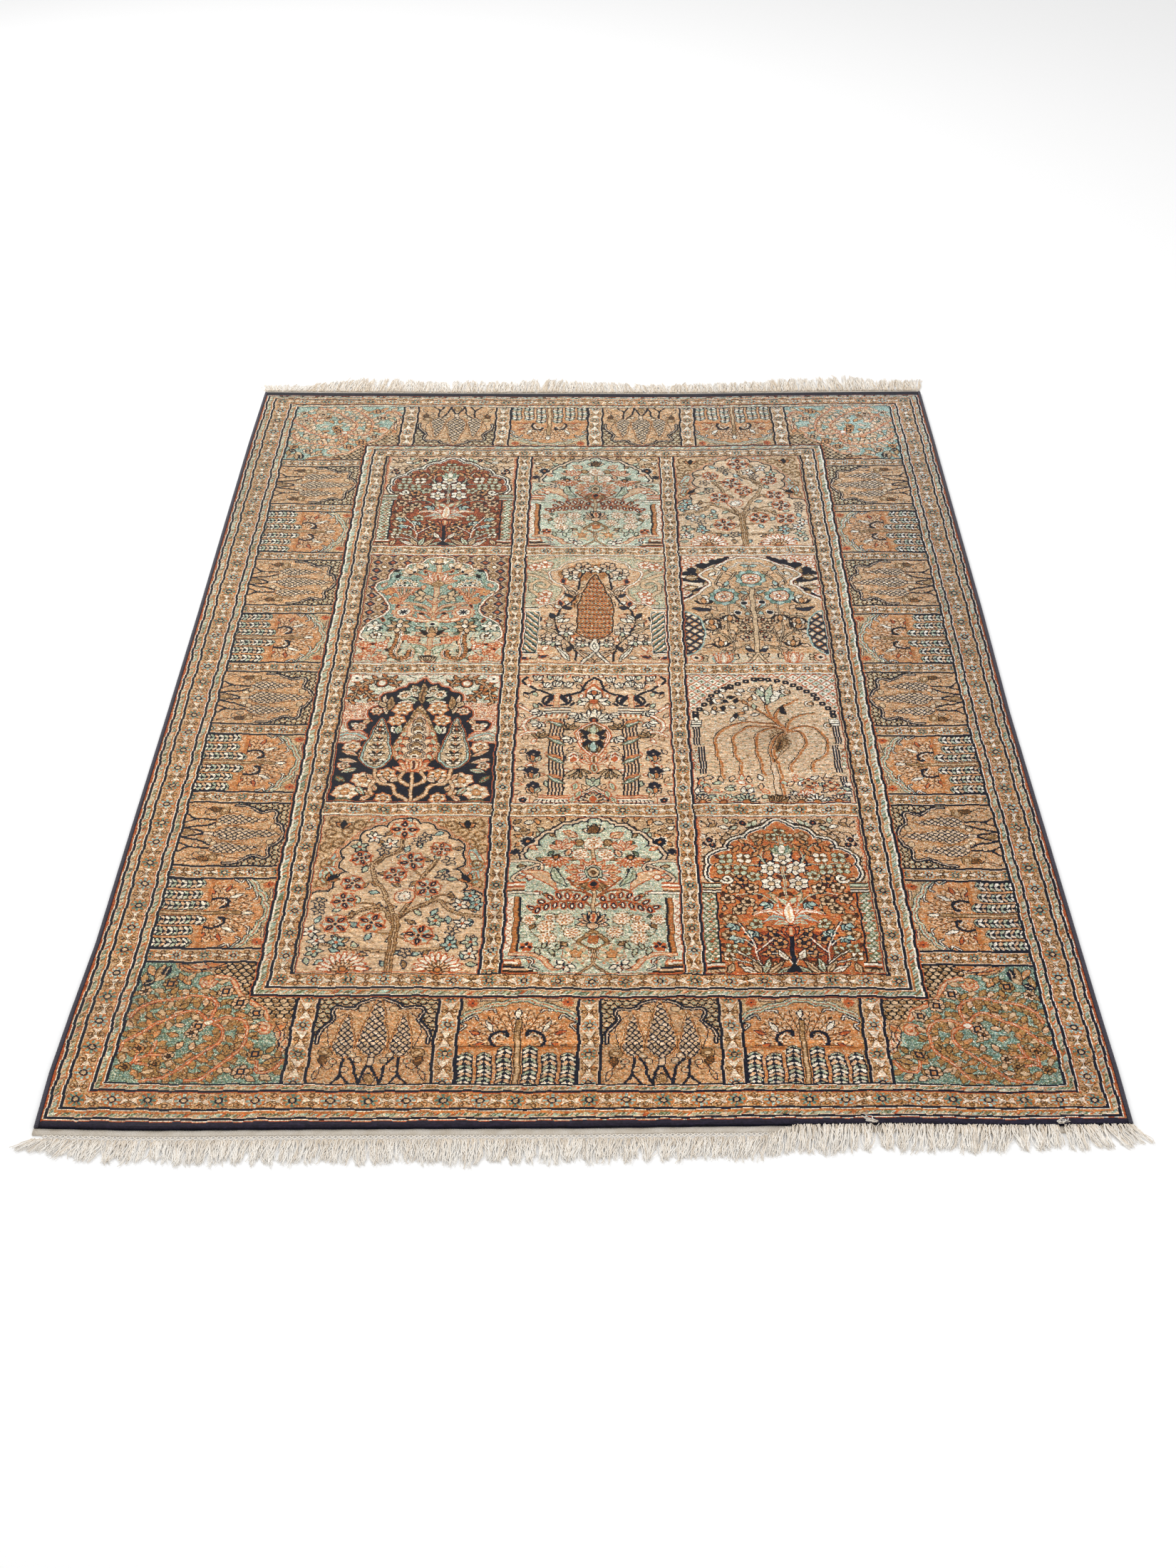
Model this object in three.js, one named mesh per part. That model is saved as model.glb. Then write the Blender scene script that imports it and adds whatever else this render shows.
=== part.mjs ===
// A hand-knotted silk garden rug lying flat, with overcast sides, woven end webs and knotted fringes.
// Millimetres, +Z up. X runs across the rug and Y along it, from the front end to the back end.

import * as THREE from 'three';

// Driving dimensions
const KNOTTED_WIDTH = 1250;
const KNOTTED_LENGTH = 1800;
const PILE_THICKNESS = 5;
const SELVEDGE_WIDTH = 6;
const SELVEDGE_HEIGHT = 5.6;
const WEB_WIDTH = 9;
const WEB_THICKNESS = 2;
const FRINGE_THICKNESS = 2.4;
const HEADING_WIDTH = 5;
const SEAM_GAP = 0.3;

// Tufts of each fringe: how many, and the part of its pitch that one fills at its root and its tip
const TUFT_COUNT = 32;
const TUFT_ROOT_FILL = 0.9;
const TUFT_TIP_FILL = 0.72;

// Mesh steps across and along
const STEPS_ACROSS = TUFT_COUNT;
const STEPS_ALONG = 44;

// How far each side is drawn in from its straight line, by place along the rug
const SIDE_ROWS = [
  { along: -900, left: 0, right: 3 },
  { along: -820, left: -2, right: 2.5 },
  { along: -720, left: 0.5, right: 4 },
  { along: -600, left: 5, right: 5 },
  { along: -400, left: 4.5, right: 6.5 },
  { along: -120, left: 4.5, right: 9 },
  { along: 150, left: 3.5, right: 6 },
  { along: 430, left: 1, right: 5.5 },
  { along: 700, left: -1, right: 4.5 },
  { along: 900, left: 0, right: 4.5 },
];

// How far each end line lies behind its straight line, by place across the rug
const END_ROWS = [
  { across: -625, front: 1, back: 2 },
  { across: -500, front: -2, back: -1 },
  { across: -250, front: 1, back: -5 },
  { across: 0, front: 3, back: -7 },
  { across: 150, front: 6, back: -9 },
  { across: 350, front: 9, back: -4 },
  { across: 480, front: 7, back: -2 },
  { across: 625, front: 9, back: 0 },
];

// Tuft length past the heading, and how far its tip leans to the right, for both fringes
const TUFT_ROWS = [
  { across: -625, frontLength: 14, frontLean: -16, backLength: 24, backLean: -2 },
  { across: -560, frontLength: 30, frontLean: -6, backLength: 24, backLean: 3 },
  { across: -450, frontLength: 35, frontLean: 3, backLength: 55, backLean: 6 },
  { across: -280, frontLength: 34, frontLean: -2, backLength: 42, backLean: -4 },
  { across: -80, frontLength: 36, frontLean: 2, backLength: 52, backLean: 3 },
  { across: 80, frontLength: 34, frontLean: -4, backLength: 34, backLean: -3 },
  { across: 260, frontLength: 32, frontLean: -7, backLength: 38, backLean: 4 },
  { across: 470, frontLength: 27, frontLean: -5, backLength: 56, backLean: -3 },
  { across: 560, frontLength: 26, frontLean: 4, backLength: 44, backLean: 3 },
  { across: 625, frontLength: 18, frontLean: 17, backLength: 42, backLean: 5 },
];

// Low ripples where the rug lifts off the surface: centre, turn in degrees, half sizes and rise
const RIPPLE_ROWS = [
  { across: -330, along: 800, turn: 3, halfLength: 260, halfWidth: 55, rise: 2.6 },
  { across: 510, along: 760, turn: -38, halfLength: 190, halfWidth: 60, rise: 2.4 },
  { across: 470, along: 330, turn: 82, halfLength: 230, halfWidth: 60, rise: 2.0 },
  { across: -470, along: 520, turn: 12, halfLength: 170, halfWidth: 55, rise: 1.8 },
  { across: 60, along: -745, turn: 1, halfLength: 480, halfWidth: 60, rise: 1.6 },
  { across: -480, along: -420, turn: -8, halfLength: 150, halfWidth: 60, rise: 1.5 },
];

const colour = {
  pile: 0xa9734c,
  selvedge: 0x1d2440,
  web: 0xd9cdb8,
  fringe: 0xe6ddcc,
};

// Value of one column of a table at a place, straight between its rows
function rowValue(rows, place, at, column) {
  const last = rows.length - 1;
  if (at <= rows[0][place]) return rows[0][column];
  if (at >= rows[last][place]) return rows[last][column];
  const next = rows.findIndex((row) => row[place] > at);
  const before = rows[next - 1];
  const after = rows[next];
  const part = (at - before[place]) / (after[place] - before[place]);
  return THREE.MathUtils.lerp(before[column], after[column], part);
}

// Outer outline of the knotted part
const leftLine = (y) => -KNOTTED_WIDTH / 2 + rowValue(SIDE_ROWS, 'along', y, 'left');
const rightLine = (y) => KNOTTED_WIDTH / 2 - rowValue(SIDE_ROWS, 'along', y, 'right');
const frontLine = (x) => -KNOTTED_LENGTH / 2 + rowValue(END_ROWS, 'across', x, 'front');
const backLine = (x) => KNOTTED_LENGTH / 2 + rowValue(END_ROWS, 'across', x, 'back');

// Place on the knotted part at parts u across and v along, drawn in from both sides by an inset
function knottedPlace(u, v, inset) {
  const straightY = (v - 0.5) * KNOTTED_LENGTH;
  const x = THREE.MathUtils.lerp(leftLine(straightY) + inset, rightLine(straightY) - inset, u);
  const y = THREE.MathUtils.lerp(frontLine(x), backLine(x), v);
  return { x, y };
}

// Rise of the cloth over its ripples: each is a smooth hump that dies out at its half sizes
function rippleRise(x, y) {
  let rise = 0;
  for (const row of RIPPLE_ROWS) {
    const turn = THREE.MathUtils.degToRad(row.turn);
    const dx = x - row.across;
    const dy = y - row.along;
    const alongHump = (dx * Math.cos(turn) + dy * Math.sin(turn)) / row.halfLength;
    const acrossHump = (dy * Math.cos(turn) - dx * Math.sin(turn)) / row.halfWidth;
    const inside = Math.max(0, 1 - alongHump * alongHump) * Math.max(0, 1 - acrossHump * acrossHump);
    rise += row.rise * inside * inside;
  }
  return rise;
}

function bodyGeometry(points, faces) {
  const geometry = new THREE.BufferGeometry();
  geometry.setAttribute('position', new THREE.Float32BufferAttribute(points, 3));
  geometry.setIndex(faces);
  geometry.computeVertexNormals();
  return geometry;
}

// Closed slab over a grid of parts u and v: its top and underside share the grid's places
function slabGeometry(stepsU, stepsV, placeAt, topAt, underAt) {
  const points = [];
  const faces = [];
  const layer = (stepsU + 1) * (stepsV + 1);
  const top = (i, j) => j * (stepsU + 1) + i;
  const under = (i, j) => layer + top(i, j);
  for (const heightAt of [topAt, underAt]) {
    for (let j = 0; j <= stepsV; j += 1) {
      for (let i = 0; i <= stepsU; i += 1) {
        const place = placeAt(i / stepsU, j / stepsV);
        points.push(place.x, place.y, heightAt(place.x, place.y));
      }
    }
  }
  for (let j = 0; j < stepsV; j += 1) {
    for (let i = 0; i < stepsU; i += 1) {
      faces.push(top(i, j), top(i + 1, j), top(i + 1, j + 1));
      faces.push(top(i, j), top(i + 1, j + 1), top(i, j + 1));
      faces.push(under(i, j), under(i + 1, j + 1), under(i + 1, j));
      faces.push(under(i, j), under(i, j + 1), under(i + 1, j + 1));
    }
  }
  const wall = (topA, topB, underA, underB) => {
    faces.push(topA, underA, underB);
    faces.push(topA, underB, topB);
  };
  for (let i = 0; i < stepsU; i += 1) {
    wall(top(i, 0), top(i + 1, 0), under(i, 0), under(i + 1, 0));
    wall(top(i + 1, stepsV), top(i, stepsV), under(i + 1, stepsV), under(i, stepsV));
  }
  for (let j = 0; j < stepsV; j += 1) {
    wall(top(0, j + 1), top(0, j), under(0, j + 1), under(0, j));
    wall(top(stepsU, j), top(stepsU, j + 1), under(stepsU, j), under(stepsU, j + 1));
  }
  return bodyGeometry(points, faces);
}

// Closed body through like sections, which turn clockwise as seen looking along the path
function loftGeometry(sections) {
  const points = sections.flat(2);
  const faces = [];
  const size = sections[0].length;
  const last = (sections.length - 1) * size;
  for (let k = 0; k < sections.length - 1; k += 1) {
    for (let i = 0; i < size; i += 1) {
      const next = (i + 1) % size;
      const here = k * size;
      const there = here + size;
      faces.push(here + i, here + next, there + next);
      faces.push(here + i, there + next, there + i);
    }
  }
  for (let i = 1; i < size - 1; i += 1) {
    faces.push(0, i + 1, i);
    faces.push(last, last + i, last + i + 1);
  }
  return bodyGeometry(points, faces);
}

// Pile: the knotted field and borders with their navy end bands
function pileGeometry() {
  const inset = SELVEDGE_WIDTH + SEAM_GAP;
  const placeAt = (u, v) => knottedPlace(u, v, inset);
  const topAt = (x, y) => PILE_THICKNESS + rippleRise(x, y);
  return slabGeometry(STEPS_ACROSS, STEPS_ALONG, placeAt, topAt, rippleRise);
}

// Overcast side cord: a low six-sided section with a flat foot, along one side of the knotted part
function selvedgeGeometry(side) {
  const shoulder = 0.22 * SELVEDGE_WIDTH;
  const profile = [
    [0, 0.5 * SELVEDGE_HEIGHT],
    [shoulder, SELVEDGE_HEIGHT],
    [SELVEDGE_WIDTH - shoulder, SELVEDGE_HEIGHT],
    [SELVEDGE_WIDTH, 0.5 * SELVEDGE_HEIGHT],
    [SELVEDGE_WIDTH - shoulder, 0],
    [shoulder, 0],
  ];
  const sections = [];
  for (let j = 0; j <= STEPS_ALONG; j += 1) {
    const edge = knottedPlace(side === 'left' ? 0 : 1, j / STEPS_ALONG, 0);
    const start = side === 'left' ? edge.x : edge.x - SELVEDGE_WIDTH;
    sections.push(profile.map(([across, up]) => [start + across, edge.y, up]));
  }
  return loftGeometry(sections);
}

// Distance from the knotted part's end line to a line outside it, at part u across
function outsidePlace(end, u, distance) {
  const edge = knottedPlace(u, end === 'front' ? 0 : 1, 0);
  const outwards = end === 'front' ? -1 : 1;
  return { x: edge.x, y: edge.y + outwards * distance };
}

// Plain woven end web between the pile and the fringe
function webGeometry(end) {
  const edges = [SEAM_GAP, SEAM_GAP + WEB_WIDTH];
  const [lowEdge, highEdge] = end === 'front' ? edges.reverse() : edges;
  const sections = [];
  for (let i = 0; i <= STEPS_ACROSS; i += 1) {
    const low = outsidePlace(end, i / STEPS_ACROSS, lowEdge);
    const high = outsidePlace(end, i / STEPS_ACROSS, highEdge);
    sections.push([
      [low.x, low.y, 0],
      [high.x, high.y, 0],
      [high.x, high.y, WEB_THICKNESS],
      [low.x, low.y, WEB_THICKNESS],
    ]);
  }
  return loftGeometry(sections);
}

// Fringe: one comb, a knotted heading along the web with tufts of uneven length and lean
function fringeGeometry(end) {
  const outwards = end === 'front' ? -1 : 1;
  const heading = 2 * SEAM_GAP + WEB_WIDTH;
  const rootSpread = TUFT_ROOT_FILL / TUFT_COUNT / 2;
  const tipSpread = TUFT_TIP_FILL / TUFT_COUNT / 2;
  const outline = [];
  for (let i = 0; i <= STEPS_ACROSS; i += 1) {
    const place = outsidePlace(end, i / STEPS_ACROSS, heading);
    outline.push(new THREE.Vector2(place.x, place.y));
  }
  for (let tuft = TUFT_COUNT - 1; tuft >= 0; tuft -= 1) {
    const middle = (tuft + 0.5) / TUFT_COUNT;
    const at = (middle - 0.5) * KNOTTED_WIDTH;
    const length = rowValue(TUFT_ROWS, 'across', at, `${end}Length`);
    const lean = rowValue(TUFT_ROWS, 'across', at, `${end}Lean`);
    const rootRight = outsidePlace(end, middle + rootSpread, heading + HEADING_WIDTH);
    const rootLeft = outsidePlace(end, middle - rootSpread, heading + HEADING_WIDTH);
    const tipRight = outsidePlace(end, middle + tipSpread, heading + HEADING_WIDTH);
    const tipLeft = outsidePlace(end, middle - tipSpread, heading + HEADING_WIDTH);
    outline.push(new THREE.Vector2(rootRight.x, rootRight.y));
    outline.push(new THREE.Vector2(tipRight.x + lean, tipRight.y + outwards * length));
    outline.push(new THREE.Vector2(tipLeft.x + lean, tipLeft.y + outwards * length));
    outline.push(new THREE.Vector2(rootLeft.x, rootLeft.y));
  }
  const settings = { depth: FRINGE_THICKNESS, bevelEnabled: false, steps: 1 };
  return new THREE.ExtrudeGeometry(new THREE.Shape(outline), settings);
}

function piece(name, geometry, color, roughness) {
  const material = new THREE.MeshStandardMaterial({ color, roughness, metalness: 0 });
  const mesh = new THREE.Mesh(geometry, material);
  mesh.name = name;
  return mesh;
}

const rug = new THREE.Group();
rug.add(piece('pile', pileGeometry(), colour.pile, 0.62));
for (const side of ['left', 'right']) {
  rug.add(piece(`selvedge_${side}`, selvedgeGeometry(side), colour.selvedge, 0.7));
}
for (const end of ['front', 'back']) {
  rug.add(piece(`web_${end}`, webGeometry(end), colour.web, 0.85));
  rug.add(piece(`fringe_${end}`, fringeGeometry(end), colour.fringe, 0.8));
}

// The origin is under the middle of the whole outline, on the surface that the rug lies on
const outlineBox = new THREE.Box3().setFromObject(rug);
const middle = outlineBox.getCenter(new THREE.Vector3());
rug.position.set(-middle.x, -middle.y, -outlineBox.min.z);

export default rug;
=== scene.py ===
"""Looks of a hand-knotted silk garden rug: its knot chart, pile, overcast sides, end webs and fringes."""
import math

import bpy
import numpy as np
from mathutils import Matrix, Vector


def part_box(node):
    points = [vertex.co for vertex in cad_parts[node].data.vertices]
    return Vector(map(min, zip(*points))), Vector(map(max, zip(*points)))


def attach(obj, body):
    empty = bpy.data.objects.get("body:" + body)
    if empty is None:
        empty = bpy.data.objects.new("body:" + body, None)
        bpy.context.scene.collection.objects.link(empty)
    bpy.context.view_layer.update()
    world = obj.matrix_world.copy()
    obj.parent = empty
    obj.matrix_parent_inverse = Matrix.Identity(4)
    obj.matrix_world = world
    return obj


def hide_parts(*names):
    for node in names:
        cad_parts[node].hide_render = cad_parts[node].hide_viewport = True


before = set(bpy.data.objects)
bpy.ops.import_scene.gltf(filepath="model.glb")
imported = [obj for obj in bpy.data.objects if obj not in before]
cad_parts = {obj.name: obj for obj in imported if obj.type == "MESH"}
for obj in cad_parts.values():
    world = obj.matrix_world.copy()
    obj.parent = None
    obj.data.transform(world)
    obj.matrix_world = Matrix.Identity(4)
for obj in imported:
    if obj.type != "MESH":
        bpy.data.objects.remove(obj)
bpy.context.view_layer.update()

# Dyed yarns of the pile, by name, as the screen colour of each in soft light
YARNS = {
    "navy": (20, 24, 48),
    "ink": (24, 17, 12),
    "umber": (58, 36, 15),
    "russet": (114, 76, 32),
    "tan": (168, 128, 76),
    "gold": (182, 142, 80),
    "sand": (218, 190, 148),
    "peach": (224, 184, 140),
    "ivory": (255, 248, 226),
    "mint": (190, 202, 170),
    "sage": (108, 122, 84),
    "teal": (106, 144, 126),
    "sky": (164, 194, 182),
    "slate": (50, 56, 74),
    "coral": (206, 98, 46),
    "orange": (204, 126, 58),
    "apricot": (214, 148, 88),
    "brick": (168, 74, 36),
    "madder": (110, 50, 26),
    "blush": (228, 202, 170),
    "indigo": (46, 42, 62),
}
NAMES = list(YARNS)
(NAVY, INK, UMBER, RUSSET, TAN, GOLD, SAND, PEACH, IVORY, MINT,
 SAGE, TEAL, SKY, SLATE, CORAL, ORANGE, APRICOT, BRICK, MADDER, BLUSH, INDIGO) = range(len(NAMES))


# The knot chart

def smooth_line(points):
    """Curve through the points: a Catmull-Rom cubic between each two, sampled every half knot."""
    p = np.array(points, float)
    p = np.vstack([2 * p[0] - p[1], p, 2 * p[-1] - p[-2]])
    out = []
    for a, b, c, d in zip(p[:-3], p[1:-2], p[2:-1], p[3:]):
        count = max(2, int(np.hypot(*(c - b)) * 2))
        t = np.linspace(0, 1, count, endpoint=False)[:, None]
        out.append(0.5 * (2 * b + (c - a) * t + (2 * a - 5 * b + 4 * c - d) * t ** 2
                          + (3 * b - a - 3 * c + d) * t ** 3))
    return np.vstack(out + [p[-2:-1]])


def lobes(points, bulge):
    """Scalloped line: each stretch between two cusps swells to its left by a sine arch."""
    p = np.array(points, float)
    out = []
    for a, b in zip(p[:-1], p[1:]):
        t = np.linspace(0, 1, 12, endpoint=False)[:, None]
        normal = np.array([(b - a)[1], -(b - a)[0]])
        out.append(a + (b - a) * t + normal * bulge * np.sin(np.pi * t) ** 0.8)
    return np.vstack(out + [p[-1:]])


def grown(mask, knots):
    """The mask with a margin of so many knots, by turns square and cross-shaped so that it stays round."""
    for turn in range(knots):
        wide = mask.copy()
        wide[1:] |= mask[:-1]
        wide[:-1] |= mask[1:]
        if turn % 2:
            tall = wide.copy()
            wide[:, 1:] |= tall[:, :-1]
            wide[:, :-1] |= tall[:, 1:]
        wide[:, 1:] |= mask[:, :-1]
        wide[:, :-1] |= mask[:, 1:]
        mask = wide
    return mask


class Chart:
    """A cartoon in knots: rows of yarn numbers, x across from the left and y down from the top.
    A mirrored chart repeats every motif on its other side. Motifs have an outline of so many knots."""

    def __init__(self, width, height, ground, mirrored=True, outline=1.5):
        self.width = width
        self.height = height
        self.outline = outline
        self.knots = np.full((height, width), ground, np.uint8)
        self.mirrored = mirrored
        self.y, self.x = np.mgrid[0:height, 0:width] + 0.5

    def window(self, x0, y0, x1, y1):
        """Rows and columns of a box, cut to the chart, with the places of its knots."""
        rows = slice(max(0, int(y0)), min(self.height, int(y1) + 2))
        columns = slice(max(0, int(x0)), min(self.width, int(x1) + 2))
        return (rows, columns), self.x[rows, columns], self.y[rows, columns]

    def lay(self, box, mask, yarn):
        """Knots of a yarn in a box where the mask has them, and in the box across from it."""
        rows, columns = box
        self.knots[rows, columns][mask] = yarn
        if self.mirrored:
            other = slice(self.width - columns.stop, self.width - columns.start)
            self.knots[rows, other][mask[:, ::-1]] = yarn

    def fill(self, mask, yarn):
        self.knots[mask] = yarn

    def area(self, points):
        """Mask of a closed outline: a knot is inside if a ray from it crosses the outline an odd number
        of times."""
        p = np.array(points, float)
        inside = np.zeros((self.height, self.width), bool)
        for (x0, y0), (x1, y1) in zip(p, np.roll(p, -1, 0)):
            if y0 == y1:
                continue
            rows = (self.y[:, 0] >= min(y0, y1)) & (self.y[:, 0] < max(y0, y1))
            across = x0 + (self.y[rows, :1] - y0) * (x1 - x0) / (y1 - y0)
            inside[rows] ^= self.x[rows] > across
        if self.mirrored:
            inside |= inside[:, ::-1]
        return inside

    def rims(self, mask, layers):
        """Lines that follow a mask's edge, each a yarn and a width, from the edge outwards."""
        for yarn, width in layers:
            wider = grown(mask, width)
            self.fill(wider & ~mask, yarn)
            mask = wider

    def blob(self, x, y, rx, ry, yarn, edge=None, turn=0):
        """Ellipse, its long axis turned by so many degrees, perhaps with an edge."""
        reach = max(rx, ry) + 2
        box, px, py = self.window(x - reach, y - reach, x + reach, y + reach)
        a = math.radians(turn)
        u = (px - x) * math.cos(a) + (py - y) * math.sin(a)
        v = (py - y) * math.cos(a) - (px - x) * math.sin(a)
        if edge is not None:
            self.lay(box, (u / (rx + self.outline)) ** 2 + (v / (ry + self.outline)) ** 2 <= 1, edge)
        self.lay(box, (u / rx) ** 2 + (v / ry) ** 2 <= 1, yarn)

    def leaf(self, x0, y0, x1, y1, width, yarn, edge=None, vein=None, bend=0.0):
        """Pointed leaf from its foot to its tip: half its width is a sine along it, round a bent rib."""
        length = math.hypot(x1 - x0, y1 - y0)
        reach = width + abs(bend) * length + 3
        box, px, py = self.window(min(x0, x1) - reach, min(y0, y1) - reach,
                                  max(x0, x1) + reach, max(y0, y1) + reach)
        ux, uy = (x1 - x0) / length, (y1 - y0) / length
        t = ((px - x0) * ux + (py - y0) * uy) / length
        s = (py - y0) * ux - (px - x0) * uy - bend * length * np.sin(np.pi * np.clip(t, 0, 1))
        half = width / 2 * np.sin(np.pi * np.clip(t, 0, 1) ** 0.85)
        if edge is not None:
            over = self.outline / length
            self.lay(box, (abs(s) <= half + self.outline) & (t > -over) & (t < 1 + over), edge)
        self.lay(box, (abs(s) <= half) & (t > 0) & (t < 1), yarn)
        if vein is not None:
            self.lay(box, (abs(s) <= 0.6) & (t > 0.1) & (t < 0.8), vein)

    def flower(self, x, y, size, petals, yarns, edge=None, heart=None, turn=0.0, plump=0.75):
        """Open flower: petals are rounded wedges about its middle, in turn of the yarns given, each with
        an edge, and perhaps a heart."""
        reach = size + 3
        box, px, py = self.window(x - reach, y - reach, x + reach, y + reach)
        r = np.hypot(px - x, py - y)
        around = np.degrees(np.arctan2(px - x, y - py)) - turn
        pitch = 360 / petals
        number = np.round(around / pitch)
        off = np.radians(around - number * pitch)
        cross = abs(r * np.sin(off))
        t = np.clip(r / size, 0, 1)
        half = plump * size * math.tan(math.radians(min(pitch / 2, 38))) * np.sin(np.pi * t ** 1.5) ** 0.6
        if edge is not None:
            self.lay(box, (r <= size + self.outline) & (cross <= half + self.outline), edge)
        inside = (r <= size) & (cross <= half)
        for k, yarn in enumerate(yarns):
            self.lay(box, inside & (number % len(yarns) == k), yarn)
        if heart is not None:
            self.lay(box, r <= max(1.2, 0.22 * size), heart)

    def leaves(self, rows, width, yarns, edges, vein=None):
        """Leaves by rows of foot and tip, in turn of the yarns and of the edges."""
        for k, row in enumerate(rows):
            self.leaf(*row, width, yarns[k % len(yarns)], edges[k % len(edges)], vein)

    def fan(self, x, y, reach, leans, width, yarns, edge=None, vein=None, near=0.0, squash=1.0):
        """Petals spreading from one place by so many degrees from upright, in turn of the yarns."""
        for k, lean in enumerate(leans):
            across, up = math.sin(math.radians(lean)), squash * math.cos(math.radians(lean))
            self.leaf(x + near * across, y - near * up, x + reach * across, y - reach * up, width,
                      yarns[k % len(yarns)], edge, vein)

    def sprinkle(self, inside, seed, yarns, edges, gap, size):
        """Small leaves strewn evenly over an area, each turned its own way."""
        rng = np.random.default_rng(seed)
        for y in np.arange(gap / 2, self.height - gap / 2, gap):
            for x in np.arange(gap / 2, self.width * (0.5 if self.mirrored else 1.0) - gap / 2, gap):
                px, py = rng.uniform(-0.35, 0.35, 2) * gap + (x, y)
                lean, k = rng.uniform(0, 360), rng.integers(12)
                if inside[int(py), int(px)]:
                    yarn, edge = yarns[k % len(yarns)], edges[k % len(edges)]
                    self.fan(px, py, size / 2, (lean,), size / 2, (yarn,), edge, near=-size / 2)

    def stem(self, points, yarn, width=2, edge=None):
        """Line through the points with a round nib, over a wider one in the edge's yarn."""
        line = smooth_line(points)
        if edge is not None:
            self.draw(line, edge, width + 2)
        self.draw(line, yarn, width)

    def draw(self, line, yarn, width):
        """Line of close points drawn with a round nib."""
        reach = (width - 1) / 2 + 0.35
        span = np.arange(-int(reach + 0.5), int(reach + 0.5) + 1)
        dx, dy = np.meshgrid(span, span)
        nib = np.hypot(dx, dy) <= reach
        shift = 0.0 if width % 2 else 0.5
        columns = (np.floor(line[:, :1] + shift).astype(int) + dx[nib]).ravel()
        rows = (np.floor(line[:, 1:] + shift).astype(int) + dy[nib]).ravel()
        good = (columns >= 0) & (columns < self.width) & (rows >= 0) & (rows < self.height)
        self.knots[rows[good], columns[good]] = yarn
        if self.mirrored:
            self.knots[rows[good], self.width - 1 - columns[good]] = yarn

    def stems(self, lines, *layers):
        """Lines laid in layers one over another, each layer a yarn and a width."""
        for line in lines:
            for yarn, width in layers:
                self.draw(smooth_line(line), yarn, width)

    def curl(self, x, y, size, yarn, width=2, edge=None, turns=1.1, start=0.0, hand=1):
        """Scroll: a spiral whose radius shrinks evenly to a fifth."""
        t = np.linspace(0, 1, 24)
        angle = math.radians(start) + hand * t * turns * 2 * math.pi
        radius = size * (1 - 0.8 * t)
        self.stem(np.stack([x + radius * np.cos(angle), y + radius * np.sin(angle)], 1), yarn, width, edge)

    def bar(self, x0, y0, x1, y1, yarn, edge=None):
        box, px, py = self.window(x0 - 2, y0 - 2, x1 + 2, y1 + 2)
        if edge is not None:
            self.lay(box, (px > x0 - 1) & (px < x1 + 1) & (py > y0 - 1) & (py < y1 + 1), edge)
        self.lay(box, (px > x0) & (px < x1) & (py > y0) & (py < y1), yarn)

    def courses(self, x0, x1, y, high, yarns, step=0):
        """Moulding: bars one below another, each longer than the last by a step."""
        for k, yarn in enumerate(yarns):
            self.bar(x0, y + high * k, x1 + step * k, y + high * (k + 1), yarn)

    def spray(self, points, yarn, leaf_yarn, edge, size, width, gap, lean, away):
        """Leafy branch: leaves by turns on both sides of a line, leaning towards its tip."""
        line = smooth_line(points)
        steps = np.hypot(*np.diff(line, axis=0).T)
        along = np.concatenate([[0], np.cumsum(steps)])
        for k, place in enumerate(np.arange(gap * 0.7, along[-1], gap * 0.6)):
            at = np.searchsorted(along, place)
            at = min(max(at, 1), len(line) - 2)
            way = line[at + 1] - line[at - 1]
            angle = math.atan2(way[1], way[0]) + math.radians(lean) * (1 if k % 2 else -1)
            x, y = line[at] + away * np.array([math.cos(angle), math.sin(angle)])
            self.leaf(x, y, x + size * math.cos(angle), y + size * math.sin(angle), width, leaf_yarn, edge)
        self.draw(line, yarn, 1)

    def lattice(self, mask, across, down, line, yarns, dot=None, width=1.0, in_rows=False):
        """Diamond lattice: two slanting families of lines, cells in turn of the yarns, a dot in each."""
        a = self.x / across + self.y / down
        b = self.x / across - self.y / down
        turn = np.floor(a) - np.floor(b) if in_rows else np.floor(b)
        for k, yarn in enumerate(yarns):
            self.fill(mask & (turn % len(yarns) == k), yarn)
        if dot is not None:
            middle = (abs(a % 1 - 0.5) < 0.16) & (abs(b % 1 - 0.5) < 0.16)
            self.fill(mask & middle, dot)
        edge = width / across / 2 * 1.3
        near = (np.minimum(a % 1, 1 - a % 1) < edge) | (np.minimum(b % 1, 1 - b % 1) < edge)
        self.fill(mask & near, line)

    def scales(self, mask, pitch, line, yarns):
        """Fish scales: rows of half circles, each row shifted by half a pitch."""
        row = np.floor(self.y / (pitch * 0.62))
        shifted = self.x + (row % 2) * pitch / 2
        off = shifted % pitch - pitch / 2
        down = self.y - row * pitch * 0.62
        inside = np.hypot(off, down) < pitch * 0.5
        cell = (np.floor(shifted / pitch) + row).astype(int)
        for k, yarn in enumerate(yarns):
            self.fill(mask & (cell % len(yarns) == k), yarn)
        edge = abs(np.hypot(off, down * 0.95) - pitch * 0.5) < 0.65
        self.fill(mask & edge, line)
        self.fill(mask & ~inside & ~edge, yarns[0])


# Sizes in knots: the whole chart, a garden panel, the places of the panels and of the stripes between them,
# and the parts of the border

CHART_WIDTH, CHART_LENGTH = 992, 1440
PANEL_WIDTH, PANEL_LENGTH = 181, 242
FIELD_SIDE, FIELD_END = 204, 202
COLUMNS = (204, 406, 607)
COLUMN_STRIPE, ROW_STRIPE = 21, 23
BORDER_SIDE, BORDER_END = 53, 57
CORNER_WIDTH, CORNER_LENGTH = 160, 157
ROW_LENGTH, ROW_DEPTH = 566, 112
COLUMN_LENGTH, COLUMN_DEPTH = 1014, 114


# Motifs

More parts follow.
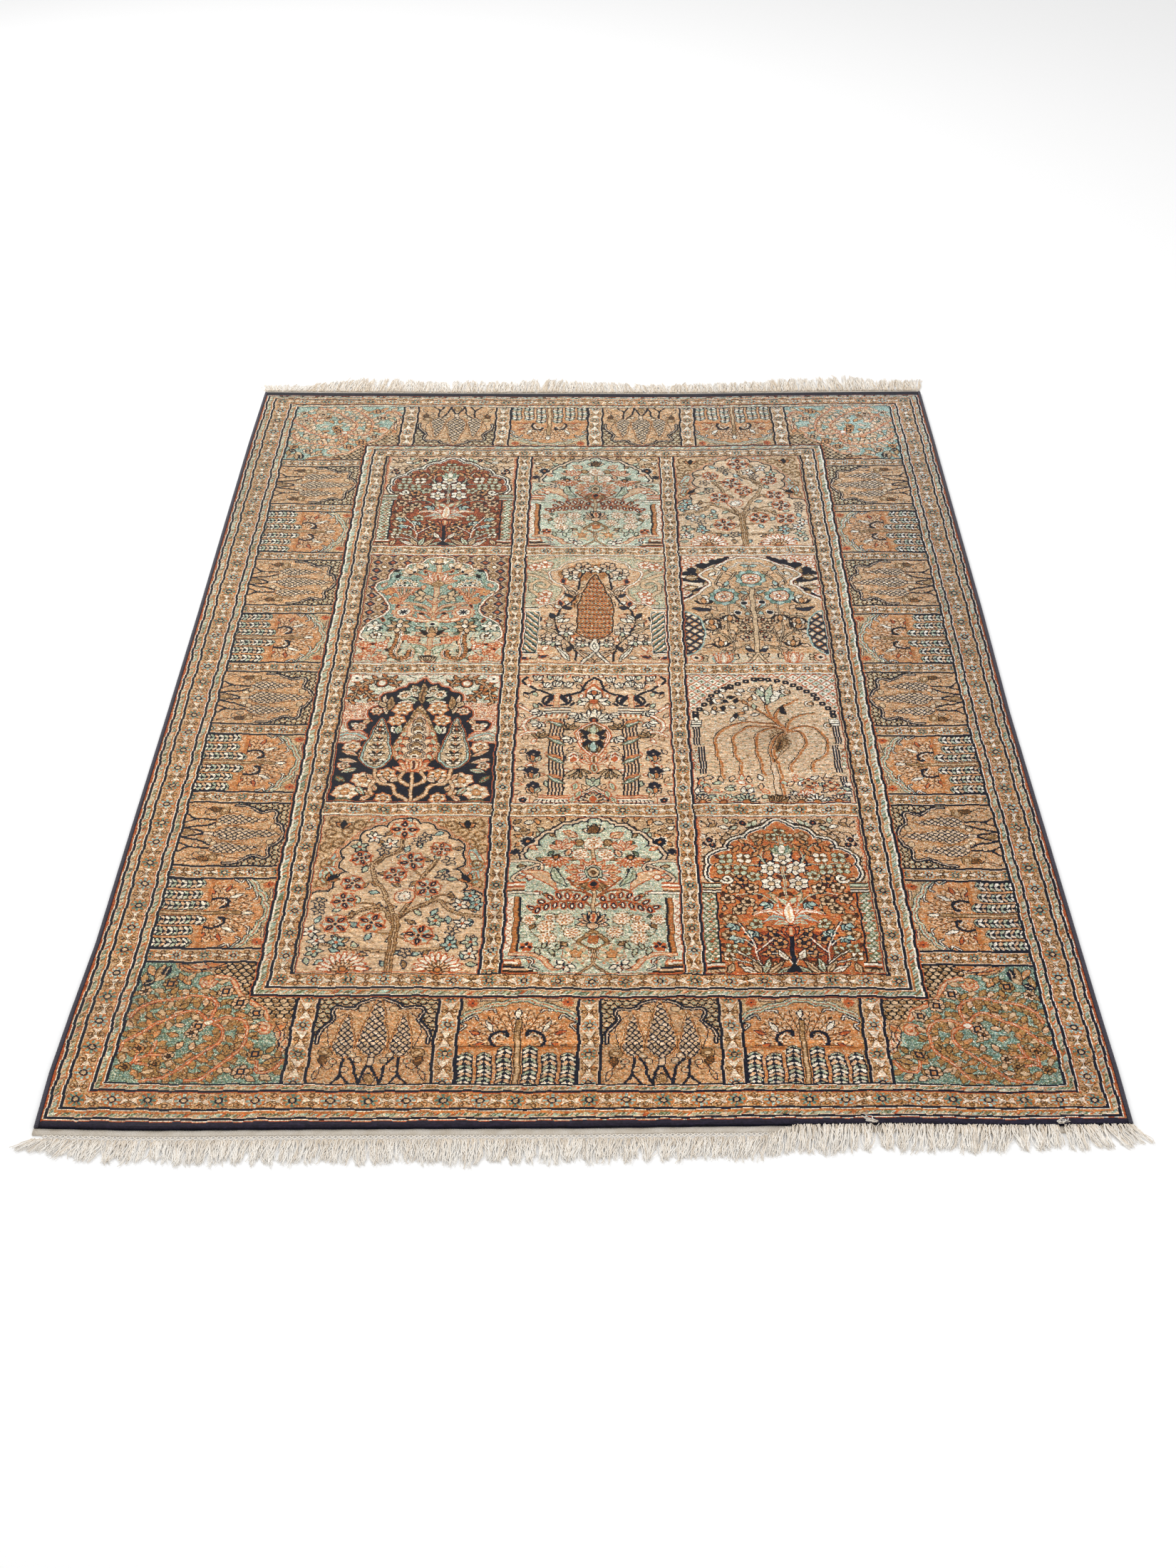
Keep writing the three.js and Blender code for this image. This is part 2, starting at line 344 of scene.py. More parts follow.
def slanting_runs(rng, shape):
    """Random shares that run on along short slanting lines."""
    rough = rng.random(shape)
    return (rough + 0.8 * np.roll(rough, (1, 1), (0, 1)) + 0.6 * np.roll(rough, (2, 2), (0, 1))) / 2.4


def speckle(chart, mask, yarns, seed):
    """Abrash: knots of near tones scattered in short slanting runs."""
    rough = slanting_runs(np.random.default_rng(seed), chart.knots.shape)
    order = np.clip((rough - 0.22) / 0.56 * len(yarns), 0, len(yarns) - 1).astype(int)
    for k, yarn in enumerate(yarns):
        chart.fill(mask & (order == k), yarn)


def arch(chart, cusps, yarn, layers, bulge):
    """Field under a lobed arch: its left half runs up through the cusps to the middle, and its sides go
    straight down. Lines in the layers' yarns follow it outside."""
    foot = chart.height + 2
    inside = chart.area(np.vstack([lobes(cusps, bulge), [(cusps[-1][0] + 1, foot), (cusps[0][0], foot)]]))
    chart.rims(inside, layers)
    chart.fill(inside, yarn)
    return inside


def ogee_field(chart, line, layers):
    """Field below a curved line that runs from the left side up to the middle, with lines outside it."""
    field = chart.area(np.vstack([smooth_line(line), [(92, 244), (line[0][0], 244)]]))
    chart.rims(field, layers)
    return field


def ring(count, start=0.0):
    """Directions of a whole bloom's petals, in degrees from upright."""
    return [start + 360 * k / count for k in range(count)]


def peony(chart, x, y, size, turn):
    """Round bloom: four pale blue petals under four navy ones on a peach disc with a scalloped rim."""
    chart.flower(x, y, size, 8, (PEACH,), edge=CORAL, plump=1.0, turn=turn)
    chart.blob(x, y, size * 0.86, size * 0.86, PEACH, CORAL)
    chart.fan(x, y, size * 0.92, ring(4, turn + 45), size * 0.28, (SKY,), near=0.25 * size)
    chart.fan(x, y, size * 0.97, ring(4, turn), size * 0.38, (NAVY,), CORAL, near=0.22 * size)
    chart.fan(x, y, size * 0.75, ring(4, turn), 1.2, (PEACH,), near=0.4 * size)
    chart.blob(x, y, 1.6, 1.6, NAVY, PEACH)


def starlet(chart, x, y, size=8, yarn=IVORY, edge=NAVY, heart=CORAL, turn=0.0):
    """Small star of five pointed petals, each outlined, on a dark disc."""
    chart.blob(x, y, size * 0.6, size * 0.6, edge)
    chart.fan(x, y, size, ring(5, turn), size * 0.46, (yarn,), edge, near=0.8)
    chart.blob(x, y, size * 0.16 + 0.4, size * 0.16 + 0.4, heart)


def clover(chart, x, y, size, yarn, edge, heart, lobe_count=4):
    """Flower of round lobes, each outlined, about a small heart."""
    for k in range(lobe_count):
        a = math.radians(45 + 360 * k / lobe_count)
        across, down = 0.58 * size * math.cos(a), 0.58 * size * math.sin(a)
        chart.blob(x + across, y + down, size * 0.34, size * 0.34, yarn, edge)
    chart.blob(x, y, 1.5, 1.5, heart, edge)


def rose(chart, x, y, size, yarns=(PEACH, IVORY), edge=CORAL):
    """Rose: a ring of petals round a smaller ring and a dark heart."""
    chart.flower(x, y, size, 7, (yarns[0],), edge=edge, plump=1.0)
    chart.fan(x, y, size * 0.95, ring(7), size * 0.34, (yarns[1],), near=0.35 * size)
    chart.flower(x, y, size * 0.42, 5, (APRICOT,), edge=UMBER, heart=yarns[1])


def pod(chart, x, y, turn=0.0, size=5.6, yarns=(CORAL, NAVY, IVORY)):
    """Seed pod: an oval with a rim and a pale middle, upright before it is turned."""
    rim, body, middle = yarns
    chart.blob(x, y, size * 0.55, size, body, rim, turn)
    chart.blob(x, y, size * 0.2, size * 0.6, middle, None, turn)


def pompon(chart, x, y, size, yarn=PEACH, edge=RUSSET):
    """Small full bloom: a scalloped disc with a ring of short petals."""
    chart.flower(x, y, size, 9, (yarn,), edge=edge, plump=1.0)
    chart.fan(x, y, size * 0.8, ring(7), 2.4, (ORANGE,), IVORY, near=0.4 * size)
    chart.blob(x, y, 1.4, 1.4, IVORY, ORANGE)


def half_daisy(chart, x, y, size, yarn=IVORY, edge=CORAL, petals=9, turn=0.0, spread=90.0):
    """Half-open daisy: long petals in a fan above a round heart."""
    leans = np.linspace(turn - spread, turn + spread, petals)
    chart.fan(x, y, size, leans, size * 0.2, (yarn,), edge, near=0.3 * size)
    chart.blob(x, y, size * 0.27, size * 0.27, ORANGE, UMBER)


# Garden panels

def panel_chart(ground, yarns, seed, mirrored=True):
    """Chart of one garden panel with a speckled ground."""
    chart = Chart(PANEL_WIDTH, PANEL_LENGTH, ground, mirrored)
    speckle(chart, chart.x > 0, yarns, seed)
    return chart


def flowering_tree():
    """A spreading tree of round blooms on a pinkish sand ground under a lobed arch."""
    c = panel_chart(SAND, (SAND, TAN, SAND, PEACH), 11, mirrored=False)
    for x, y, rx, ry, turn in ((24, 72, 8, 22, 20), (166, 70, 8, 22, -20), (60, 7, 9, 4, 0),
                               (122, 8, 9, 4, 0), (14, 96, 7, 12, 0), (168, 98, 6, 12, 0),
                               (40, 40, 5, 9, 40)):
        c.blob(x, y, rx, ry, SKY, CORAL, turn)
        c.blob(x, y, rx * 0.4, ry * 0.5, MINT, CORAL, turn)
    for x, y in ((14, 10), (12, 30), (22, 44), (10, 52), (42, 14), (30, 26), (14, 78), (54, 16), (12, 108)):
        c.curl(x, y, 9, RUSSET, 2, TAN, start=90)
        c.curl(181 - x, y, 9, RUSSET, 2, TAN, start=90, hand=-1)
    field = c.area(np.vstack([lobes(((0, 138), (20, 123), (30, 118), (28, 104), (40, 93), (31, 70),
                                     (33, 50), (46, 43), (56, 24), (73, 20), (89, 7), (106, 14), (123, 25),
                                     (138, 38), (152, 62), (142, 88), (156, 105), (153, 122), (181, 139)),
                                    0.3), [(182, 244), (0, 244)]]))
    c.rims(field, ((SAND, 3), (CORAL, 1), (SAND, 1), (CORAL, 1)))
    speckle(c, field, (SAND, BLUSH, SAND, PEACH), 12)
    c.sprinkle(field, 13, (MINT, SKY, TAN), (NAVY, SLATE), 20, 10)
    c.rims(field, ((NAVY, 2),))
    boughs = (((91, 165), (83, 141), (77, 123), (66, 103), (61, 80), (70, 70), (87, 57), (90, 40)),
              ((88, 168), (79, 150), (62, 149), (46, 158), (36, 170)),
              ((93, 165), (106, 151), (118, 142), (133, 135), (143, 148), (161, 156), (176, 160)),
              ((95, 160), (110, 125), (115, 100), (127, 72)), ((90, 212), (72, 210), (52, 208), (20, 200)),
              ((95, 208), (112, 208), (134, 208), (150, 200), (168, 196)))
    twigs = (((72, 150), (66, 142), (50, 140)), ((79, 150), (60, 158), (56, 166)), ((115, 100), (98, 84)),
             ((61, 84), (48, 72), (46, 56)), ((66, 80), (72, 58), (64, 44)), ((66, 108), (48, 108)),
             ((91, 186), (75, 184), (66, 176)), ((93, 190), (110, 196), (122, 190)),
             ((118, 142), (134, 128), (150, 130)), ((133, 137), (150, 142), (170, 150)))
    c.stems(twigs, (RUSSET, 3), (TAN, 1))
    c.stems(boughs, (RUSSET, 5), (SAND, 3), (UMBER, 2), (TAN, 1))
    c.stems((((91, 242), (92, 200), (91, 160)),), (RUSSET, 9), (TAN, 7), (RUSSET, 3), (SAND, 1))
    for x, y, size in ((90, 23, 15), (48, 70, 11), (130, 55, 11), (101, 75, 14), (86, 97, 12),
                       (44, 110, 12), (121, 116, 14), (37, 137, 13), (32, 172, 14), (68, 170, 14),
                       (117, 187, 15)):
        peony(c, x, y, size, turn=x * 7)
    for x, y in ((45, 52), (59, 36), (77, 47), (132, 166), (158, 169), (155, 141), (172, 142), (17, 195),
                 (37, 198), (15, 211), (148, 200), (168, 197), (170, 214), (166, 128), (8, 182)):
        starlet(c, x, y, 9, (MINT, SKY, IVORY)[x % 3], turn=x * 11)
    for x, y in ((107, 43), (140, 74), (70, 58), (113, 36), (150, 180), (12, 150), (12, 138), (135, 96),
                 (106, 213)):
        starlet(c, x, y, 7, SAND, SLATE, INK, turn=x * 5)
    c.blob(99, 130, 10, 10, BLUSH, CORAL)
    c.flower(99, 130, 6, 8, (IVORY,), edge=SLATE, heart=CORAL)
    for x, y, lean in ((24, 20, 0), (157, 20, 0), (18, 104, 40), (163, 104, -40)):
        c.fan(x, y, 11, (lean - 48, lean + 48, lean), 5, (ORANGE, ORANGE, NAVY), INK)
    for x in (47, 140):
        half_daisy(c, x, 236, 24, IVORY, CORAL, 11)
        half_daisy(c, x, 236, 12, PEACH, RUSSET, 7)
    return c.knots


def vase_garden():
    """A great rosette over peonies and arched pods on pale green, under a ribbon arch on two pillars."""
    c = panel_chart(SAND, (SAND, TAN, PEACH, SAND), 21)
    c.sprinkle(c.y < 70, 23, (APRICOT, IVORY, MINT, TAN), (UMBER, NAVY), 13, 10)
    c.flower(19, 42, 8, 9, (NAVY,), edge=IVORY, heart=ORANGE)
    c.flower(7, 58, 4, 6, (NAVY,), edge=SLATE)
    cusps = ((23, 72), (21, 60), (35, 50), (37, 36), (51, 31), (54, 22), (68, 18), (74, 13), (84, 11),
             (91, 4))
    field = arch(c, cusps, MINT, ((NAVY, 2), (BLUSH, 3), (NAVY, 2)), 0.3) | (c.y > 76)
    speckle(c, field, (MINT, IVORY, MINT, SKY, MINT), 22)
    c.sprinkle(field & (c.y > 26), 24, (SAGE, PEACH, TAN), (NAVY, CORAL, UMBER), 19, 8)
    c.stems((((-2, 74), (22, 74), (32, 76), (37, 82), (36, 89), (31, 88), (31, 83)),
             ((32, 79), (24, 84), (14, 92), (7, 99), (9, 106), (16, 110))), (NAVY, 5), (BLUSH, 3))
    c.leaf(17, 91, 52, 118, 13, PEACH, CORAL, bend=-0.18)
    c.blob(24, 99, 3.4, 3.4, IVORY, CORAL)
    c.courses(-1, 20, 107, 3, (CORAL, IVORY, CORAL, PEACH, RUSSET))
    c.bar(-1, 122, 34, 125, IVORY, NAVY)
    c.bar(-1, 131, 9, 211, IVORY)
    c.stem([(4 + 2.2 * (-1) ** k, 133 + 5 * k) for k in range(16)], CORAL, 2)
    c.bar(9, 131, 13, 211, ORANGE, RUSSET)
    c.bar(14, 131, 16, 212, NAVY)
    c.courses(-1, 12, 222, 3, (CORAL, IVORY, RUSSET, NAVY, PEACH, UMBER, CORAL), 4)
    c.stem(((8, 214), (24, 213), (38, 219), (44, 227), (51, 233), (60, 230)), PEACH, 4, CORAL)
    c.stem(((10, 219), (22, 218), (30, 224), (28, 231), (36, 236)), IVORY, 2, NAVY)
    # Upper flowers and their stems
    c.stems((((91, 75), (88, 56), (79, 52), (67, 54), (57, 60), (51, 66)), ((85, 54), (70, 44), (62, 34)),
             ((79, 53), (70, 60), (67, 72))), (RUSSET, 2))
    c.bar(89, 50, 91, 84, SAND, RUSSET)
    c.fan(91, 26, 13, (-66, -33, 0), 7, (PEACH,), NAVY)
    c.blob(91, 22, 5, 6, RUSSET, INK)
    pompon(c, 91, 44, 9, IVORY, CORAL)
    c.leaf(72, 33, 59, 26, 8, PEACH, CORAL, RUSSET)
    c.blob(75, 43, 4, 5, TAN, UMBER)
    c.fan(58, 54, 15, (-70, -30, 10, 50), 6, (BLUSH,), CORAL, CORAL)
    pompon(c, 77, 62, 8, IVORY, CORAL)
    pod(c, 64, 60, 20, 5, (NAVY, PEACH, CORAL))
    half_daisy(c, 51, 68, 15, PEACH, CORAL, 9, 180, 80)
    half_daisy(c, 51, 68, 9, IVORY, CORAL, 5, 180, 60)
    # Rosette in the middle
    c.fan(91, 94, 27, range(-130, 131, 26), 7, (PEACH,), CORAL, RUSSET, near=7, squash=0.9)
    c.fan(91, 94, 18, range(-130, 131, 32), 6, (IVORY,), CORAL, NAVY, near=7, squash=0.9)
    for rx, ry, yarn in ((9, 12, NAVY), (8, 11, MINT), (6.4, 9, NAVY), (5, 7.4, SAND), (2.6, 3.6, RUSSET)):
        c.blob(91, 91, rx, ry, yarn)
    c.fan(91, 108, 15, (110, 142, -110, -142), 6, (TAN,), RUSSET)
    c.leaf(91, 103, 91, 118, 8, RUSSET, CORAL)
    c.blob(91, 109, 3, 4, NAVY, CORAL)
    c.leaf(50, 84, 63, 112, 9, MINT, NAVY, SAGE, bend=0.15)
    c.stems((((91, 132), (83, 122), (72, 112), (62, 100)), ((88, 128), (74, 119), (62, 118), (52, 122)),
             ((91, 146), (81, 137), (61, 135), (40, 141), (28, 152))), (CORAL, 3), (RUSSET, 2))
    c.bar(89, 120, 91, 150, SAND, RUSSET)
    for k in range(7):
        pod(c, 27 + 9 * k, 127 + 0.9 * abs(k - 4) ** 2.2, 15 * k - 65, 4.6)
        pod(c, 33 + 9 * min(k, 5), 142 + 0.8 * max(0, 3 - k) ** 2, 20 - 5 * k, 4.6)
    # Lotus, side blooms and the loop below
    c.fan(91, 168, 17, (-100, -72, -45, -20, 0), 7, (PEACH,), NAVY, CORAL)
    c.blob(91, 172, 5, 4, PEACH, NAVY)
    c.stems((((74, 196), (60, 178), (61, 168)), ((66, 196), (50, 192), (44, 180)), ((60, 184), (69, 182)),
             ((56, 196), (34, 190), (24, 170))), (RUSSET, 1))
    for x, y, size in ((61, 162, 9), (43, 174, 9), (69, 182, 8), (44, 191, 9), (24, 164, 7), (45, 161, 5)):
        pompon(c, x, y, size)
    c.stem(((91, 179), (80, 190), (76, 198), (84, 204), (91, 207)), TAN, 3, RUSSET)
    c.blob(91, 192, 4, 5, ORANGE, CORAL)
    c.flower(24, 203, 6, 7, (NAVY, CORAL), edge=CORAL, heart=IVORY)
    c.stem(((91, 206), (70, 203), (50, 206), (32, 204)), RUSSET, 2)
    for k in range(5):
        c.leaf(34 + 7 * k, 206, 37 + 7 * k, 216 - 18 * (k % 2), 4, MINT, UMBER)
    rose(c, 73, 213, 14, (MINT, PEACH))
    c.fan(64, 228, 11, (-110, -60, 170, 120), 5, (IVORY,), NAVY, near=3)
    c.stems((((91, 206), (90, 224), (82, 234), (74, 242)),), (RUSSET, 4), (SAND, 2))
    return c.knots


def lily_arch(grounds=(CORAL, ORANGE, CORAL, APRICOT)):
    """A dark stem of pale stars over a great lily on orange red, under an ogee arch on two columns."""
    c = panel_chart(SAND, (SAND, PEACH, BLUSH, TAN), 31)
    c.sprinkle(c.y < 90, 34, (IVORY, MINT, TAN, PEACH), (NAVY, UMBER), 12, 10)
    c.bar(1, 0, 5, 96, PEACH)
    c.stem([(3 + (-1) ** k, 2 + 3 * k) for k in range(32)], CORAL, 1)
    c.stems((((5, 50), (14, 40), (26, 36), (34, 24), (46, 12), (60, 20), (72, 14)),
             ((30, 24), (38, 34), (30, 42)), ((5, 74), (14, 66), (16, 58))), (UMBER, 1))
    for x, y in ((52, 11), (11, 45), (17, 47), (14, 39)):
        c.flower(x, y, 4.6, 5, (NAVY,), edge=PEACH, heart=CORAL)
    cusps = ((24, 106), (15, 101), (12, 88), (16, 79), (15, 68), (23, 59), (35, 57), (36, 46), (43, 40),
             (55, 38), (57, 30), (63, 24), (75, 22), (81, 15), (91, 8))
    field = arch(c, cusps, CORAL, ((IVORY, 1), (NAVY, 2), (IVORY, 2), (UMBER, 2)), 0.14) | (c.y > 106)
    speckle(c, field, grounds, 32)
    speckle(c, field & (np.hypot((abs(c.x - 91) - 24) / 22, (c.y - 205) / 24) < 1),
            (BRICK, MADDER, CORAL, BRICK), 33)
    c.sprinkle(field & (c.y > 30), 35, (APRICOT, SAND, MADDER), (UMBER, NAVY), 15, 7)
    c.curl(30, 101, 7, IVORY, 3, UMBER, turns=1.1, start=160, hand=-1)
    c.courses(-1, 22, 107, 2, (UMBER, MINT, MINT, UMBER, SAND, NAVY, IVORY, UMBER))
    shaft = (91 - abs(c.x - 91) < 16) & (c.y > 123) & (c.y < 225)
    c.scales(shaft, 6, SAGE, (IVORY, CORAL, MINT, SAND))
    c.bar(16, 123, 18, 225, NAVY)
    c.courses(-1, 20, 225, 2.4, (UMBER, IVORY, CORAL, UMBER, SAND, SAND, NAVY))
    # Upper stem with its stars
    lines = (((91, 132), (91, 24)), ((91, 96), (84, 92), (78, 86)), ((91, 46), (84, 40), (81, 34)),
             ((70, 81), (60, 79), (47, 80), (35, 79)), ((60, 50), (66, 64), (73, 78)),
             ((73, 54), (70, 66), (73, 78)), ((91, 118), (84, 112), (78, 110)), ((47, 80), (47, 72)),
             ((39, 127), (53, 124), (67, 128), (79, 141)))
    c.stems(lines, (NAVY, 2))
    c.stems([[(x - 1.5, y - 0.8) for x, y in line] for line in lines], (MINT, 1))
    for x, y in ((91, 67), (77, 85), (76, 109)):
        c.fan(x, y, 12, ring(6), 7, (IVORY,), NAVY, near=2)
        c.blob(x, y, 3, 3, SAND, UMBER)
    for x, y, r in ((31, 69, 9), (50, 68, 9), (27, 86, 9), (45, 87, 9), (91, 26, 7), (81, 34, 7),
                    (29, 205, 8), (43, 209, 7), (26, 217, 7)):
        clover(c, x, y, r, (IVORY, MINT)[x % 2], RUSSET, UMBER)
    for x, y, yarn, edge in ((59, 97, MINT, RUSSET), (66, 34, SAND, RUSSET), (30, 163, SAND, RUSSET),
                             (28, 186, SAND, RUSSET), (56, 170, MINT, RUSSET), (45, 102, APRICOT, NAVY),
                             (59, 193, APRICOT, NAVY), (76, 186, APRICOT, NAVY), (79, 199, APRICOT, NAVY),
                             (72, 212, APRICOT, NAVY), (35, 116, PEACH, UMBER), (55, 116, PEACH, UMBER),
                             (29, 132, PEACH, UMBER), (49, 136, SAND, UMBER), (40, 148, SAND, UMBER)):
        clover(c, x, y, 8, yarn, edge, UMBER, 5)
    for x, y in ((67, 41), (51, 52), (74, 52), (40, 54), (62, 60)):
        c.curl(x, y, 5, UMBER, 1, start=60)
        c.leaf(x - 2, y + 5, x + 4, y - 5, 4, APRICOT, UMBER)
    c.fan(91, 60, 14, (-64, -32, 0), 7, (MINT, SKY, IVORY), SAGE)
    # Lily
    c.leaf(91, 138, 74, 124, 8, SAND, SAGE, bend=-0.15)
    c.leaf(91, 142, 80, 130, 6, MINT, CORAL)
    for x1, y1, yarn, bend, wide in ((80, 138, SKY, 0.2, 10), (60, 150, MINT, -0.32, 8),
                                     (52, 158, IVORY, -0.36, 7), (62, 168, SKY, -0.3, 8),
                                     (72, 172, MINT, -0.22, 7), (76, 148, IVORY, -0.2, 7)):
        c.leaf(90, 170, x1, y1, wide, yarn, CORAL, CORAL, bend=-bend)
    c.leaf(91, 170, 91, 138, 9, IVORY, CORAL, PEACH)
    for x, y in ((69, 139), (33, 171), (36, 189), (53, 181)):
        c.fan(x, y, 9, (150, 200, 250), 6, (SKY,), NAVY)
    c.fan(91, 189, 16, (-62, -32, 0), 8, (CORAL,), NAVY, SAND)
    # Trunk and side plants
    c.stem(((91, 240), (91, 190)), NAVY, 4)
    lines = (((57, 229), (55, 209), (51, 191), (39, 167)), ((55, 212), (66, 200), (74, 190)),
             ((51, 191), (53, 181)), ((55, 205), (44, 192), (36, 189)), ((91, 230), (82, 214), (72, 212)))
    c.stems(lines, (NAVY, 2))
    c.stems([[(x - 1.5, y) for x, y in line] for line in lines], (IVORY, 1))
    c.stems((((57, 229), (44, 216), (34, 208)), ((57, 231), (42, 224), (28, 218))), (UMBER, 4), (IVORY, 2))
    c.leaves(((57, 240, 48, 224), (60, 240, 66, 220), (64, 241, 80, 224), (52, 240, 36, 230),
              (24, 240, 28, 226), (72, 242, 88, 232), (14, 241, 6, 236), (84, 222, 77, 208)), 6,
             (SAND, MINT, SAND, IVORY), (UMBER,), RUSSET)
    c.stems((((91, 234), (84, 239), (72, 242)), ((90, 230), (84, 236))), (NAVY, 4))
    return c.knots


def cypress(chart, x, top, foot, half, yarn, layers):
    """Cypress: half its width swells from the tip as a power of the height and closes in a round foot."""
    t = np.clip((chart.y - top) / (foot - top), 0, 1)
    width = half * np.minimum((t / 0.72) ** 0.8, 1) * np.sqrt(np.clip((1 - t) / 0.18, 0, 1))
    inside = (abs(chart.x - x) <= width) & (chart.y > top) & (chart.y < foot)
    if chart.mirrored:
        inside |= inside[:, ::-1]
    chart.rims(inside, layers)
    chart.fill(inside, yarn)
    return inside


def cypress_arch():
    """A wide cypress between two gold ones and roses on dark blue, under a stepped arch."""
    c = panel_chart(IVORY, (MINT, IVORY, SKY, BLUSH, IVORY), 41)
    speckle(c, (c.y > 58) & (c.y < 100), (BLUSH, IVORY, PEACH, IVORY, BLUSH), 42)
    for x in range(4, 50, 6):
        for y in range(60, 104, 6):
            c.curl(x + (y % 4), y, 3, CORAL, 1, start=x * 37 + y * 11)
    branches = (((60, 30), (57, 18), (50, 9), (42, 8)), ((44, 8), (30, 11), (18, 20), (9, 34)),
                ((26, 16), (18, 28), (26, 40), (36, 54)), ((18, 22), (12, 34), (11, 46), (7, 56)))
    c.stems(branches, (INK, 6), (RUSSET, 4), (SAND, 1))
    for branch in branches:
        c.spray(branch, SAND, ORANGE, UMBER, 8, 4, 8, 60, 1)
    c.blob(41, 19, 7, 8, RUSSET, INK)
    c.blob(41, 19, 4.4, 5.4, IVORY, CORAL)
    c.stem(((66, -1), (74, 7), (84, 9), (91, 3)), UMBER, 2)
    c.flower(9, 9, 8, 7, (IVORY,), edge=CORAL, heart=NAVY)
    outline = ((-1, 137), (14, 136), (30, 132), (33, 121), (26, 113), (14, 111), (8, 101), (12, 93),
               (24, 92), (36, 96), (32, 88), (30, 76), (36, 67), (46, 62), (43, 50), (46, 40), (56, 36),
               (63, 29), (71, 26), (74, 20), (82, 20), (90, 9))
    field = ogee_field(c, outline, ()) | (c.y > 138)
    c.rims(field, ((CORAL, 2), (IVORY, 1), (CORAL, 1)))
    c.fill(field, NAVY)
    c.stem(((-1, 124), (10, 117), (22, 120), (31, 128)), SKY, 4, CORAL)
    c.stem(((-1, 130), (12, 128), (24, 130)), IVORY, 2, UMBER)
    # Flowers above the cypresses
    c.leaves(((90, 60, 90, 18), (86, 36, 76, 24), (86, 46, 72, 36), (86, 54, 66, 50), (82, 58, 62, 58),
              (76, 44, 66, 34), (52, 80, 47, 42), (54, 72, 56, 44), (48, 66, 42, 56), (66, 118, 60, 104),
              (66, 118, 70, 102), (20, 104, 12, 98), (26, 100, 32, 92)), 8,
             (TAN, SAND, IVORY, MINT, IVORY, PEACH, BLUSH), (INK,), RUSSET)
    for x, y, r in ((70, 43, 8), (80, 34, 6)):
        rose(c, x, y, r, (IVORY, BLUSH), SAGE)
    for x, y, r in ((70, 70, 12), (64, 92, 10), (19, 143, 10), (62, 193, 11), (36, 203, 13), (19, 225, 14),
                    (61, 235, 9), (23, 106, 7), (40, 75, 7), (12, 178, 7), (44, 226, 7)):
        rose(c, x, y, r, (APRICOT, IVORY) if x > 60 else (PEACH, IVORY))
    c.leaves(((8, 150, 26, 160), (6, 166, 28, 172), (26, 184, 10, 190), (30, 150, 32, 166),
              (6, 196, 16, 208), (50, 204, 40, 192), (74, 198, 66, 206), (30, 216, 40, 228),
              (52, 222, 46, 212), (8, 240, 28, 239), (36, 238, 48, 230), (54, 200, 62, 208)), 7,
             (PEACH, BLUSH, MINT, SAND, SAGE), (UMBER,), CORAL)
    # The wide cypress
    tree = cypress(c, 90, 62, 178, 27, GOLD, ((UMBER, 1),))
    c.lattice(tree, 6, 7, RUSSET, (GOLD, SAND))
    inner = cypress(c, 90, 78, 173, 22, BLUSH, ((CORAL, 1), (SAND, 1)))
    speckle(c, inner, (BLUSH, PEACH, BLUSH, SAND), 43)
    for x, y in ((72, 118), (69, 132), (68, 146), (71, 160)):
        c.leaf(x, y + 5, x + 5, y - 4, 5, MINT, CORAL)
        c.leaf(x + 3, y + 6, x + 9, y + 10, 4, CORAL, UMBER)
    for k, y in enumerate((92, 107, 122, 137, 152)):
        half = 6 + k * 0.9
        cloud = ((90 - half * 0.4, y + 9), (90 - half, y + 8), (90 - half, y + 2), (90 - half * 0.5, y - 3),
                 (90, y - 6))
        c.stem(cloud, SAND, 2, SLATE)
        c.leaf(90, y + 8, 90, y - 3, half, TAN, RUSSET)
        c.blob(90, y + 8, 2.4, 2.4, RUSSET, IVORY)
    c.fan(90, 186, 22, (-75, -45, -20, 0), 9, (PEACH,), CORAL, MADDER)
    # The side cypresses, with pairs of dark leaves
    cypress(c, 47, 88, 182, 17, SKY, ((UMBER, 1), (CORAL, 1)))
    inner = cypress(c, 47, 92, 179, 14, SAND, ((UMBER, 1),))
    speckle(c, inner, (SAND, TAN, SAND, IVORY), 44)
    for k, y in enumerate((104, 112, 126, 140, 154, 169)):
        c.fan(47, y + 3, 6 + k, (-40, 40), 3, ((INK, UMBER)[k % 2],))
        c.fan(47, y + 6, 5 + k, (-60, 60), 3, (IVORY,), UMBER, near=2)
        c.blob(47, y - 2, 1.4, 2, CORAL)
    # Ribbons and the middle stem
    c.stems((((47, 184), (50, 200), (56, 210), (66, 210), (71, 216), (74, 226), (82, 234), (89, 241)),
             ((48, 204), (44, 216), (48, 228)), ((80, 188), (76, 200), (84, 210), (90, 212)),
             ((90, 242), (90, 190))), (RUSSET, 6), (PEACH, 4))
    return c.knots


